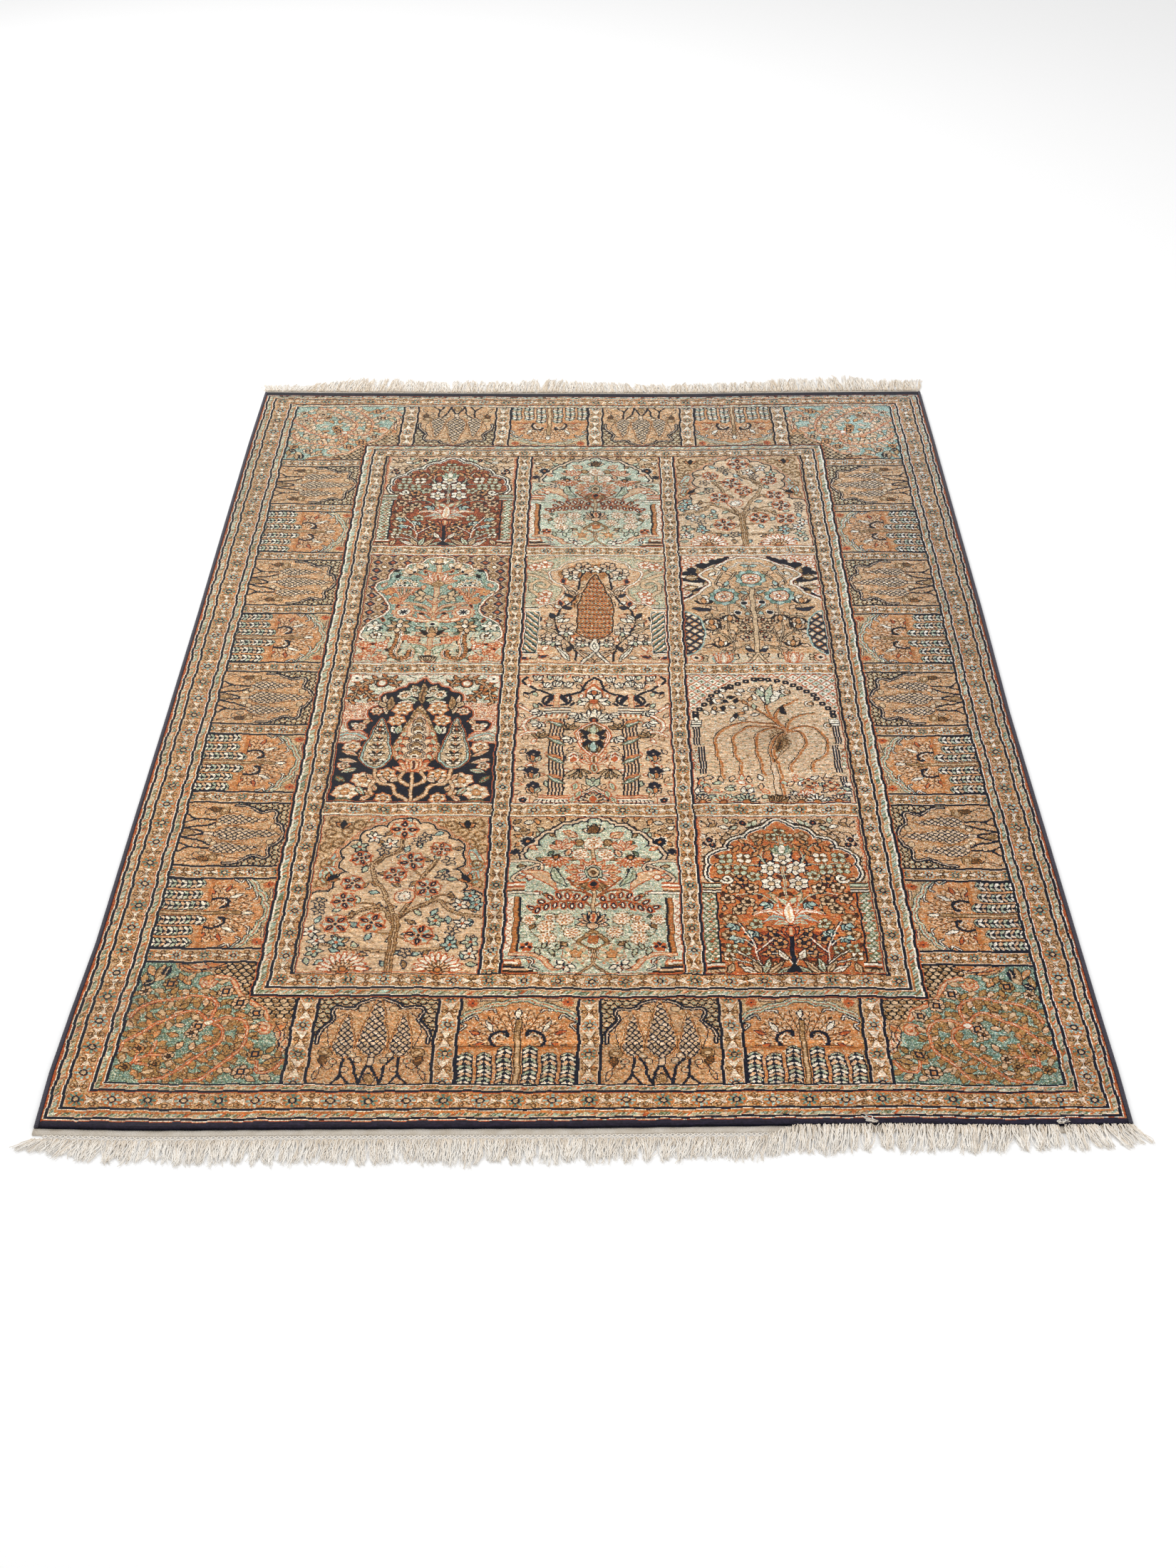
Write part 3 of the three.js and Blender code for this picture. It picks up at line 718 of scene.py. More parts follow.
def two_pillars():
    """Two wrapped pillars with leafy volutes beside a column of palmettes, on pinkish cream."""
    c = panel_chart(BLUSH, (BLUSH, SAND, PEACH, PEACH, BLUSH), 51)
    c.sprinkle(c.x > 0, 52, (IVORY, PEACH, MINT, PEACH), (NAVY, CORAL, RUSSET), 17, 9)
    # Volutes, urns and the scalloped line above
    for x, y in ((8, 12), (20, 8), (80, 14)):
        c.blob(x, y, 8, 7, PEACH, CORAL)
    for x, y in ((23, 8), (47, 8), (71, 10), (35, 22), (47, 20), (60, 22)):
        c.fan(x, y + 5, 11, (-30, 0, 30), 4, (IVORY,), NAVY)
        c.bar(x - 5, y + 6, x + 5, y + 8, SAND, SLATE)
    volutes = (((43, 48), (38, 40), (30, 34), (22, 31), (14, 24)), ((20, 34), (14, 38), (8, 36)),
               ((51, 48), (58, 42), (68, 38), (76, 32), (79, 22), (83, 12), (91, 6)),
               ((76, 32), (84, 28), (91, 24)), ((8, 20), (4, 12), (10, 5)),
               ((43, 44), (34, 44), (30, 52), (35, 60), (42, 62)),
               ((51, 44), (60, 44), (63, 52), (58, 60), (52, 62)), ((30, 62), (26, 58)),
               ((63, 62), (67, 57)))
    c.stems(volutes, (NAVY, 4))
    c.leaves(((43, 42, 34, 60), (51, 42, 60, 60)), 4, (NAVY,), (INDIGO,))
    c.stem(((47, 66), (46, 54), (47, 42)), PEACH, 5, CORAL)
    # Pillars
    c.courses(32, 63, 66, 2, (NAVY, IVORY, BLUSH, NAVY, IVORY, NAVY))
    for k in range(9):
        c.leaf(35 + 3 * k, 78, 35 + 3 * k, 87, 3, (CORAL, IVORY)[k % 2])
        c.leaf(31 + 4 * k, 236, 25 + 5.4 * k, 243, 4, IVORY, NAVY)
    c.bar(39, 84, 57, 228, PEACH)
    for k in range(5):
        c.bar(39 + 4 * k, 88, 41 + 4 * k, 228, (NAVY, INDIGO)[k % 2])
    for y in (100, 132, 166, 202):
        c.leaf(38, y - 8, 58, y + 6, 6, TEAL, RUSSET, IVORY)
        c.leaf(41, y - 10, 53, y - 5, 3, APRICOT, CORAL)
    c.courses(30, 65, 228, 2, (CORAL, PEACH, CORAL, IVORY))
    # Palmettes down the middle
    for reach, yarn, edge in ((25, CORAL, CORAL), (21, IVORY, CORAL), (14, SAND, UMBER)):
        c.leaf(91, 24 + reach * 1.2, 91, 50 - reach * 1.2, reach * 0.8, yarn, edge)
    c.blob(91, 37, 2.6, 4, CORAL, NAVY)
    c.fan(91, 56, 21, (-100, -64, -28), 10, (NAVY,), near=3)
    c.fan(91, 56, 19, (-100, -64, -28), 6, (IVORY,), NAVY, near=5)
    c.fan(91, 56, 17, (140, 165, 195), 8, (PEACH,), RUSSET, CORAL)
    c.blob(91, 55, 4, 4, CORAL, RUSSET)
    c.fan(91, 91, 23, range(-96, 1, 24), 10, (NAVY,))
    c.fan(91, 91, 21, range(-96, 1, 24), 6, (IVORY,), NAVY)
    c.blob(91, 91, 5, 5, NAVY, SAND)
    c.blob(91, 91, 2, 2, CORAL)
    ogee = ((91, 97), (80, 104), (73, 113), (73, 124), (78, 140), (85, 152), (91, 160))
    c.stems((ogee,), (CORAL, 7), (IVORY, 4), (CORAL, 2))
    c.fan(91, 99, 24, (146, 166, 180), 6, (TAN, MINT, MINT), RUSSET, near=2)
    c.fan(91, 153, 22, (-34, -14, 0), 6, (TAN, MINT, SKY), UMBER, near=2)
    c.leaves(((88, 122, 76, 110), (88, 126, 79, 142), (88, 124, 77, 124)), 6, (NAVY,), (UMBER,))
    clover(c, 91, 124, 6, CORAL, SAND, IVORY)
    c.stems((((62, 118), (66, 112), (70, 106)), ((58, 122), (64, 124), (66, 134)),
             ((91, 160), (80, 164), (70, 160)), ((70, 168), (74, 180), (72, 188)),
             ((20, 66), (24, 84), (12, 96), (16, 116)), ((22, 128), (34, 132), (38, 128)),
             ((10, 142), (20, 138), (32, 144)), ((26, 150), (22, 170), (26, 186)), ((24, 216), (28, 228))),
            (RUSSET, 2))
    c.stems((((4, 62), (16, 76), (22, 82), (12, 92), (8, 104), (14, 114)),
             ((6, 120), (20, 112), (32, 120))), (CORAL, 5), (IVORY, 3))
    for x, y, start, yarn, edge in ((63, 108, -60, TAN, INK), (30, 123, -60, TAN, INK),
                                    (64, 124, 140, IVORY, NAVY), (26, 72, 140, IVORY, NAVY),
                                    (26, 94, 140, IVORY, NAVY), (70, 78, 140, IVORY, NAVY)):
        c.fan(x, y, 11, range(start, start + 121, 40), 5, (yarn,), edge)
    for y in (156, 162):
        c.stem(((57, y + 6), (59, y - 2), (67, y - 6), (75, y - 2), (77, y + 6)), NAVY, 2)
        c.leaf(67, y + 8, 67, y - 4, 9, CORAL, IVORY)
    c.fan(91, 172, 17, (-70, -40, 0, 180), 7, (BLUSH, BLUSH, BLUSH, MINT), CORAL, RUSSET)
    c.fan(71, 184, 16, range(110, 236, 25), 5, (TAN, SAND), INK)
    c.fan(91, 213, 16, (-26, 0, 26), 6, (MINT,), NAVY)
    for k, yarn in enumerate((NAVY, IVORY, CORAL, IVORY, NAVY, CORAL)):
        c.stem(((74, 226 + 2 * k), (91, 211 + 2 * k)), yarn, 1)
    half_daisy(c, 91, 239, 15, PEACH, NAVY, 7)
    c.leaf(91, 240, 91, 228, 8, CORAL, MINT)
    for x, y in ((68, 212), (72, 226), (66, 236)):
        c.leaf(x, y + 8, x + 4, y - 6, 6, MINT, CORAL, SAGE)
    # Plants beside the edges, with clusters of dark berries
    for x, y, r in ((23, 154, 8), (21, 185, 8), (23, 211, 7)):
        clover(c, x, y, r, NAVY, INDIGO, PEACH, 5)
        c.fan(x, y + 16, 14, (-35, -10, 30), 6, (PEACH, APRICOT, MINT), NAVY, CORAL, near=4)
    c.bar(6, 230, 20, 243, BLUSH, CORAL)
    c.flower(13, 236, 5, 5, (NAVY,), edge=IVORY, heart=CORAL)
    return c.knots


def willow():
    """A drooping willow on pinkish tan under a beaded arch, its corners a lattice on pale green."""
    c = Chart(PANEL_WIDTH, PANEL_LENGTH, MINT)
    c.lattice(c.x > 0, 13, 13.5, CORAL, (MINT, IVORY), SAGE, 1.6)
    speckle(c, c.knots == MINT, (MINT, IVORY, SKY, IVORY), 61)
    beads = ((8, 84), (9, 77), (14, 69), (19, 60), (26, 51), (30, 43), (37, 36), (45, 29), (53, 23),
             (62, 18), (72, 14), (82, 11), (91, 10))
    field = c.area(np.vstack([smooth_line(beads), [(92, 244), (4, 244), (4, 86)]]))
    c.rims(field, ((BLUSH, 5), (CORAL, 1)))
    speckle(c, field, (BLUSH, SAND, PEACH, PEACH, BLUSH), 62)
    strokes = np.sin(c.y * 1.1 + 3 * np.sin(c.x / 13)) * np.sin(c.x * 0.23 + c.y * 0.31)
    for k, yarn in enumerate((TAN, SAGE, MINT)):
        c.fill(field & (strokes > 0.6 + 0.1 * k) & (np.sin(c.x * 0.9 + c.y * 1.7 + k) > -0.4), yarn)
    for x, y in beads:
        c.flower(x, y, 4.4, 4, (NAVY,), heart=PEACH, plump=0.9, turn=45)
    for y0, y1, x in ((104, 138, 9), (140, 190, 13), (196, 216, 9)):
        c.bar(x - 4, y0, x + 4, y1, NAVY)
        c.bar(x - 2, y0, x + 2, y1, BLUSH)
        c.bar(x - 0.6, y0, x + 0.8, y1, SLATE)
    speckle(c, (91 - abs(c.x - 91) < 9) & (c.y > 146) & (c.y < 184), (MINT, CORAL, IVORY, SAGE), 63)
    for y in (91, 95, 100, 218, 223, 228):
        c.bar(4, y, 15, y + 3, IVORY, NAVY)
    c.mirrored = False
    blot = np.hypot((c.x - 104) / 11, (c.y - 128) / 22) + 0.25 * np.sin(c.x) * np.sin(c.y)
    speckle(c, blot < 1, (TAN, RUSSET, SAND, TAN), 64)
    boughs = (((111, 111), (101, 99), (81, 94), (59, 95), (43, 103), (32, 115), (28, 129), (28, 151),
               (31, 171), (32, 196)), ((111, 111), (97, 103), (81, 101), (67, 103), (55, 113), (49, 123),
                                       (50, 157), (54, 171), (53, 193)),
              ((111, 111), (97, 105), (87, 107), (79, 113), (75, 125), (75, 151), (78, 171), (79, 192)),
              ((111, 113), (101, 119), (93, 131), (90, 143), (91, 167), (91, 231)),
              ((110, 113), (103, 121), (97, 135), (94, 150), (95, 168), (98, 174), (98, 231)),
              ((112, 112), (125, 111), (131, 121), (131, 139), (125, 151), (113, 171), (111, 185)),
              ((111, 111), (125, 103), (137, 103), (149, 111), (156, 127), (156, 145), (151, 157),
               (139, 169), (136, 185)), ((111, 111), (113, 99), (121, 87), (133, 80), (147, 79)),
              ((109, 108), (101, 87), (103, 75), (111, 65), (121, 57), (129, 49)),
              ((106, 104), (97, 87), (93, 75), (92, 61), (97, 51), (101, 43), (97, 33)),
              ((108, 106), (91, 81), (73, 63), (59, 49)))
    for line in boughs:
        c.stem([(x + 2, y + 0.8) for x, y in line], PEACH, 4)
        c.stem([(x + 3.2, y + 1.2) for x, y in line], ORANGE, 3)
        c.stem(line, INK, 2)
    c.stems((((110, 112), (108, 122), (112, 130), (108, 142), (102, 156), (96, 168)),
             ((110, 112), (112, 124), (116, 132), (112, 144), (104, 156))), (RUSSET, 2))
    c.leaf(101, 152, 106, 124, 7, RUSSET, TAN, INK)
    c.stem(((94, 172), (94, 231)), BLUSH, 4)
    # Birds and blossoms among the branches, and the plants on the ground
    c.leaves(((94, 58, 90, 24), (96, 60, 101, 22), (100, 56, 112, 34), (90, 44, 86, 30),
              (110, 46, 106, 34)), 9, (IVORY, MINT), (NAVY,))
    above = field & (c.y > 26) & (c.y < 90) & (abs(c.x - 98) > 14) & (c.x < 120)
    c.sprinkle(above, 65, (NAVY, IVORY, APRICOT, MINT, IVORY), (UMBER, NAVY), 12, 9)
    for x, y, size in ((36, 54, 6), (79, 31, 5), (119, 37, 5), (146, 61, 5), (162, 102, 4)):
        c.blob(x, y, size, size, IVORY, UMBER)
        c.blob(x + 1, y, size * 0.5, size * 0.5, PEACH, NAVY if size > 5 else RUSSET)
    c.sprinkle(field & (c.y > 196) & (abs(c.x - 94) > 10), 66, (IVORY, MINT, PEACH, MINT),
               (NAVY, SLATE, CORAL), 12, 10)
    c.stems((((146, 224), (146, 206), (152, 190)), ((104, 232), (112, 222), (108, 214))), (NAVY, 1))
    for x, y, r in ((131, 208, 8), (156, 213, 9)):
        c.flower(x, y, r, 9, (CORAL, SAND), edge=SLATE, heart=CORAL)
        c.flower(x, y, r * 0.45, 4, (SAND,), edge=NAVY)
    c.fan(127, 230, 11, range(-70, 71, 35), 6, (IVORY,), CORAL)
    for x, size, yarn, edge in ((10, 12, PEACH, NAVY), (34, 13, CORAL, MINT), (60, 14, MINT, NAVY),
                                (120, 12, SAND, UMBER), (138, 14, IVORY, NAVY), (162, 12, PEACH, SLATE)):
        half_daisy(c, x, 240, size, yarn, edge, 7)
    c.fan(95, 250, 22, range(-30, 31, 10), 4, (TAN,), UMBER)
    return c.knots


def teal_vase():
    """A waisted teal field of lilies and daisies between corners of dark and tan lattice."""
    c = Chart(PANEL_WIDTH, PANEL_LENGTH, TAN)
    c.lattice(c.x > 0, 20, 19, PEACH, (SLATE, TAN), CORAL, 3.2, in_rows=True)
    c.lattice(c.x > 0, 20, 19, NAVY, ())
    for y in range(-1, 14):
        for x in range(6):
            c.blob(20 * x, 19 * y + 9.5, 2.6, 2.6, (IVORY, PEACH)[(x + y) % 2], RUSSET)
    outline = ((-2, 206), (5, 200), (13, 194), (6, 184), (9, 170), (12, 158), (23, 147), (31, 140),
               (35, 130), (36, 118), (31, 106), (23, 92), (15, 76), (18, 65), (29, 60), (30, 46), (36, 38),
               (49, 33), (54, 24), (70, 20), (76, 11), (91, 6))
    field = ogee_field(c, outline, ((NAVY, 1), (IVORY, 2), (CORAL, 1), (UMBER, 1)))
    speckle(c, field, (SKY, SAGE, TEAL, MINT, TEAL, SKY), 71)
    speckle(c, field & (c.y > 176), (MINT, SAND, SKY, BLUSH, MINT), 72)
    c.sprinkle(field & (c.y > 30), 73, (SAND, INK, PEACH, SAGE), (UMBER, CORAL, INK), 16, 8)
    # Stems
    c.stems((((91, 150), (91, 20)), ((87, 134), (81, 122), (67, 116), (43, 110), (37, 100)),
             ((91, 240), (91, 190))), (CORAL, 5), (SAND, 3))
    c.stems((((89, 144), (79, 133), (67, 130)), ((91, 116), (84, 108), (80, 104)),
             ((91, 48), (80, 40), (70, 34)), ((91, 56), (72, 50), (60, 44)),
             ((49, 112), (47, 96), (34, 80)), ((49, 112), (53, 96), (66, 80)),
             ((91, 212), (78, 202), (66, 196))), (CORAL, 4), (SAND, 2))
    for x in (38, 44, 50, 56, 62):
        c.stem(((49, 104), (49 + (x - 49) * 0.6, 90), (x, 78)), PEACH, 2, CORAL if x % 4 else RUSSET)
    c.stem(((30, 79), (49, 76), (68, 79)), PEACH, 2, CORAL)
    # Lilies above
    for x, y, lean in ((91, 22, 0), (70, 34, -30), (58, 44, -50)):
        c.fan(x, y, 15, [lean + turn for turn in (-55, -25, 25, 55, 0)], 7,
              (IVORY, IVORY, IVORY, IVORY, PEACH), TAN)
        c.fan(x, y, 8, (lean - 70, lean + 70), 4, (NAVY,))
    c.fan(91, 66, 24, (-80, -55, -32, -14, 0), 8, (PEACH, BLUSH, IVORY), CORAL, CORAL)
    c.leaf(91, 76, 91, 60, 14, TAN, RUSSET)
    c.fan(49, 73, 19, range(-96, 97, 24), 6, (INK,), near=8)
    c.fan(49, 73, 15, range(-96, 97, 24), 4, (GOLD,), IVORY, near=11)
    for x in (43, 49, 55):
        c.blob(x, 72, 2, 2, NAVY, IVORY)
    c.fan(74, 98, 14, (-60, -20, 100, 180, 220), 8, (SAND,), INK)
    for x, y in ((31, 87), (41, 107)):
        c.flower(x, y, 7, 7, (APRICOT,), edge=CORAL, heart=NAVY)
    c.flower(53, 133, 14, 14, (PEACH, SAND), edge=CORAL, plump=1.0)
    c.blob(53, 133, 8.4, 8.4, IVORY, CORAL)
    c.fan(53, 133, 8, ring(8), 2, (NAVY,))
    c.leaves(((89, 152, 58, 150), (80, 150, 72, 138), (70, 152, 56, 144)), 7, (PEACH,), (CORAL,), IVORY)
    c.blob(91, 160, 7, 7, MINT, SAND)
    c.blob(91, 160, 2.6, 2.6, NAVY, IVORY)
    # Lower palmette and the curling stems beside it
    c.fan(91, 186, 20, (-80, -48, -20, 0), 6, (SAND, INK, PEACH, TAN), UMBER)
    c.blob(91, 184, 5, 5, APRICOT, UMBER)
    curling = ((51, 172), (53, 184), (53, 200), (49, 218), (53, 230), (61, 233), (70, 228), (71, 216))
    c.stems((curling,), (RUSSET, 9), (PEACH, 7), (CORAL, 4), (IVORY, 3), (NAVY, 1))
    for x, y in smooth_line(curling)[4::9]:
        c.blob(x - 4, y, 1.6, 2.4, ORANGE, RUSSET)
    c.fan(49, 164, 15, ring(8, -130), 6, (TAN, PEACH), INK, near=4)
    c.blob(50, 163, 3, 4, IVORY, NAVY)
    starlet(c, 19, 164, 12, IVORY, INK, SAND)
    for x, y, r in ((23, 184, 8), (10, 204, 7), (33, 206, 7), (18, 218, 8), (10, 230, 8), (34, 232, 8),
                    (70, 193, 8), (60, 190, 5)):
        clover(c, x, y, r, (PEACH, IVORY)[x % 2], CORAL if y > 186 else UMBER, APRICOT, 5)
    c.stems((((24, 192), (28, 206), (22, 222), (26, 238)), ((10, 192), (20, 204), (12, 216)),
             ((36, 214), (30, 226))), (CORAL, 1))
    c.leaves(((88, 216, 68, 204), (84, 222, 74, 208)), 8, (MINT,), (SAGE,), IVORY)
    c.fan(91, 252, 24, range(-24, 25, 8), 3, (SAND,), UMBER)
    return c.knots


def urn_tree():
    """A slender patterned tree between navy branches, under a rust canopy, with striped columns."""
    c = panel_chart(MINT, (MINT, BLUSH, SAND, MINT, SAGE, MINT), 75)
    c.stems((((0, 8), (10, 14), (24, 10), (36, 4)), ((2, 44), (14, 50), (28, 60), (46, 74)),
             ((18, 34), (32, 48), (46, 60)), ((8, 84), (8, 70), (18, 60), (30, 66), (26, 76), (16, 72)),
             ((8, 84), (18, 94), (22, 110), (12, 112)), ((42, 104), (50, 92), (50, 80)),
             ((6, 24), (18, 36))), (UMBER, 7), (SAND, 5), (PEACH, 1))
    for x, y in ((26, 22), (28, 92), (12, 28), (24, 106)):
        clover(c, x, y, 9, IVORY, CORAL, TAN, 5)
    outline = ((-2, 132), (16, 126), (26, 118), (40, 112), (50, 102), (55, 88), (52, 74), (40, 62),
               (33, 50), (34, 38), (46, 32), (50, 22), (62, 16), (72, 10), (91, 7))
    field = ogee_field(c, outline, ((NAVY, 1), (IVORY, 2), (CORAL, 1)))
    speckle(c, field, (SAND, PEACH, APRICOT, BLUSH, PEACH), 62)
    for x, y, rx, ry in ((91, 40, 16, 20), (74, 34, 20, 13), (58, 45, 17, 14), (74, 52, 26, 8),
                         (70, 104, 14, 20), (62, 174, 18, 14)):
        speckle(c, field & (np.hypot((c.x - x) / rx, (c.y - y) / ry) < 1), (RUSSET, ORANGE, ORANGE, GOLD),
                76)
    c.sprinkle(field & (c.y > 60), 78, (IVORY, PEACH, SAND, SLATE), (UMBER, CORAL, NAVY), 13, 11)
    # Navy branches and their buds
    c.stem(((68, 236), (66, 212), (58, 196), (47, 180), (40, 160), (41, 144), (48, 124), (59, 110),
            (67, 92), (70, 72), (71, 52), (77, 38), (74, 28)), NAVY, 3)
    buds = ((40, 160, 32, 144), (41, 148, 50, 138), (47, 180, 22, 164), (68, 90, 50, 70), (66, 94, 58, 84),
            (70, 60, 60, 50), (58, 196, 56, 176), (66, 212, 76, 198), (67, 92, 76, 76), (48, 124, 40, 116),
            (40, 156, 28, 152), (92, 226, 74, 216), (90, 238, 66, 212), (60, 236, 44, 206))
    c.leaves(buds, 6, (PEACH, IVORY, SAND, BLUSH), (UMBER,), NAVY)
    for x, y, r in ((74, 27, 11), (58, 42, 12), (27, 190, 9), (40, 190, 12), (56, 168, 12), (76, 194, 10)):
        clover(c, x, y, r, (BLUSH, PEACH)[(x + y) % 2], NAVY, APRICOT, 6)
        c.fan(x, y + r * 0.4, r, (130, 180, 230), 5, (IVORY, MINT, IVORY), NAVY, near=3)
    starlet(c, 91, 34, 9, IVORY, UMBER, APRICOT)
    # The tree
    t = np.clip((c.y - 46) / 144, 0, 1)
    half = 21 * np.minimum((t / 0.47) ** 0.8, 1) * np.sqrt(np.clip((1 - t) / 0.1, 0, 1))
    tree = (abs(c.x - 90.5) <= half) & (c.y > 46) & (c.y < 190)
    c.rims(tree, ((UMBER, 2), (PEACH, 1)))
    speckle(c, tree, (ORANGE, CORAL, ORANGE, APRICOT, RUSSET), 77)
    column, row = np.floor(c.x / 2.5), np.floor(c.y / 2.5)
    dots = tree & (row % 2 == 0) & ((column + row / 2) % 2 == 0)
    for k, yarn in enumerate((SKY, NAVY)):
        c.fill(dots & (row // 2 % 2 == k), yarn)
    c.bar(88, 190, 91, 218, IVORY, NAVY)
    c.stems((((90, 216), (84, 226), (74, 241)), ((91, 190), (86, 206), (91, 216))), (NAVY, 5), (IVORY, 3))
    # Columns
    stripes = (abs(abs(c.x - 90.5) - 79) < 7.5) & (c.y > 129) & (c.y < 218)
    c.rims(stripes, ((NAVY, 1), (IVORY, 1)))
    turn = np.floor((abs(c.x - 90.5) * 1.2 + c.y) / 3).astype(int) % 4
    for k, yarn in enumerate((TEAL, NAVY, IVORY, APRICOT)):
        c.fill(stripes & (turn == k), yarn)
    c.courses(1, 20, 122, 2.2, (NAVY, IVORY, PEACH, IVORY))
    c.courses(1, 20, 219, 2.2, (NAVY, IVORY, PEACH, IVORY))
    return c.knots


def gold_arch():
    """Three great blue rosettes over a pale trunk on gold, between honeycomb columns."""
    c = panel_chart(BLUSH, (BLUSH, PEACH, IVORY, SAND, BLUSH), 81)
    for x, y in ((10, 10), (24, 10), (38, 6), (8, 24), (20, 18), (8, 76), (14, 84), (8, 96)):
        starlet(c, x, y, 8, IVORY, CORAL, APRICOT)
    c.stems((((62, 4), (56, 14), (44, 18), (30, 28), (14, 40), (4, 44)), ((14, 30), (18, 44), (26, 56)),
             ((0, 56), (18, 60), (36, 64), (36, 74), (24, 80), (12, 94), (2, 108))), (NAVY, 7))
    for x, y, r in ((56, 12, 8), (44, 14, 6), (28, 24, 8), (14, 34, 7), (8, 42, 6), (34, 66, 6),
                    (20, 84, 7), (8, 100, 6)):
        c.blob(x, y, r, r * 0.8, NAVY)
    c.leaves(((28, 46, 22, 28), (6, 54, 24, 50), (30, 70, 40, 64), (4, 78, 22, 74), (16, 92, 22, 84)), 11,
             (TAN,), (NAVY,), IVORY)
    cusps = ((0, 112), (13, 101), (24, 92), (30, 82), (42, 72), (40, 62), (35, 55), (27, 46), (46, 32),
             (59, 20), (73, 11), (91, 7))
    field = arch(c, cusps, GOLD, ((UMBER, 1), (IVORY, 3), (CORAL, 1), (NAVY, 1)), 0.1) | (c.y > 112)
    speckle(c, field, (SAND, PEACH, APRICOT, SAND, TAN), 82)
    speckle(c, field & (c.y > 222), (BLUSH, PEACH, SAND, MINT, BLUSH), 83)
    inner = ((91, 18), (76, 18), (70, 26), (54, 32), (48, 44), (36, 50), (48, 62), (50, 76), (44, 82))
    c.stems((inner,), (IVORY, 3), (UMBER, 1))
    c.sprinkle(field & (c.y > 24) & (abs(c.x - 91) < 62), 85, (BLUSH, SAND, PEACH, IVORY, SKY),
               (UMBER, NAVY), 18, 11)
    # Trunk and branches, each a pale line with brown sides
    c.stems((((91, 140), (80, 126), (70, 116)), ((91, 132), (84, 122), (80, 114)),
             ((91, 86), (80, 78), (70, 76)), ((91, 104), (82, 106), (80, 98), (86, 90)),
             ((61, 198), (52, 184), (40, 172)), ((61, 198), (66, 178), (72, 162), (80, 154)),
             ((62, 196), (56, 176), (56, 150)), ((62, 214), (61, 198)), ((66, 180), (78, 172)),
             ((60, 226), (62, 212), (80, 202)), ((60, 226), (48, 214)), ((54, 40), (46, 56), (44, 66)),
             ((72, 40), (62, 56)), ((58, 150), (44, 140), (30, 142)), ((91, 50), (91, 26)),
             ((58, 118), (58, 140))), (UMBER, 4), (SAND, 2))
    c.leaves(((12, 122, 34, 128), (20, 128, 36, 124), (74, 134, 66, 130), (86, 218, 78, 212)), 5, (SLATE,),
             (NAVY,))
    for x, y in ((91, 55), (55, 96)):
        c.flower(x, y, 20, 10, (TEAL, SKY), edge=NAVY, plump=1.0)
        c.blob(x, y, 12, 12, PEACH, NAVY)
        c.flower(x, y, 11, 8, (PEACH, IVORY), edge=CORAL)
        c.fan(x, y, 9, ring(8), 2, (CORAL,))
        c.blob(x, y, 3.4, 3.4, NAVY)
        c.blob(x, y, 1.6, 1.6, IVORY)
    c.flower(91, 111, 10, 8, (APRICOT, BLUSH), edge=CORAL, heart=INK)
    for x, y in ((79, 111), (70, 133)):
        c.blob(x, y, 4, 4, NAVY, IVORY)
    for x, y, r in ((81, 150, 7), (76, 166, 8), (80, 187, 9), (68, 152, 7), (84, 176, 6), (46, 164, 6),
                    (20, 230, 8)):
        clover(c, x, y, r, (SAND, PEACH)[x % 2], (UMBER, NAVY)[y % 2], CORAL, 5)
    for x, y, turn in ((40, 168, -30), (28, 112, 0), (34, 146, 170), (58, 140, 180), (46, 206, 0)):
        c.fan(x, y, 13, [turn + spread for spread in (-60, -34, 60, 34, 0)], 6,
              (NAVY, PEACH, NAVY, IVORY, APRICOT), UMBER)
    speckle(c, np.hypot((c.x - 47) / 15, (c.y - 231) / 13) < 1, (TEAL, SKY, SLATE, MINT, SKY), 84)
    c.fan(47, 244, 24, (-28, 28, -12, 12, 0), 8, (BLUSH, PEACH), CORAL, IVORY)
    c.bar(88, 78, 91, 226, SAND, UMBER)
    c.stems((((90, 222), (84, 234), (76, 244)),), (UMBER, 5), (SAND, 3))
    c.blob(13, 230, 6, 6, BLUSH, CORAL)
    c.blob(13, 230, 2.6, 2.6, NAVY)
    swell = 25 * np.sqrt(np.clip(1 - ((c.y - 177) / 46) ** 2, 0, 1))
    column = (91 - abs(c.x - 91) < swell) & (c.x > 3) & (c.x < PANEL_WIDTH - 4)
    c.rims(column, ((NAVY, 1), (SKY, 2)))
    c.lattice(column, 14, 15, SLATE, (APRICOT, SAND), IVORY, 3.6)
    return c.knots


# Border

BORDER_OUTLINE = 1.1


def resized(knots, width, height):
    """The chart drawn to another size, each knot taken from the nearest one."""
    rows = ((np.arange(height) + 0.5) * knots.shape[0] / height).astype(int)
    columns = ((np.arange(width) + 0.5) * knots.shape[1] / width).astype(int)
    return knots[rows][:, columns]


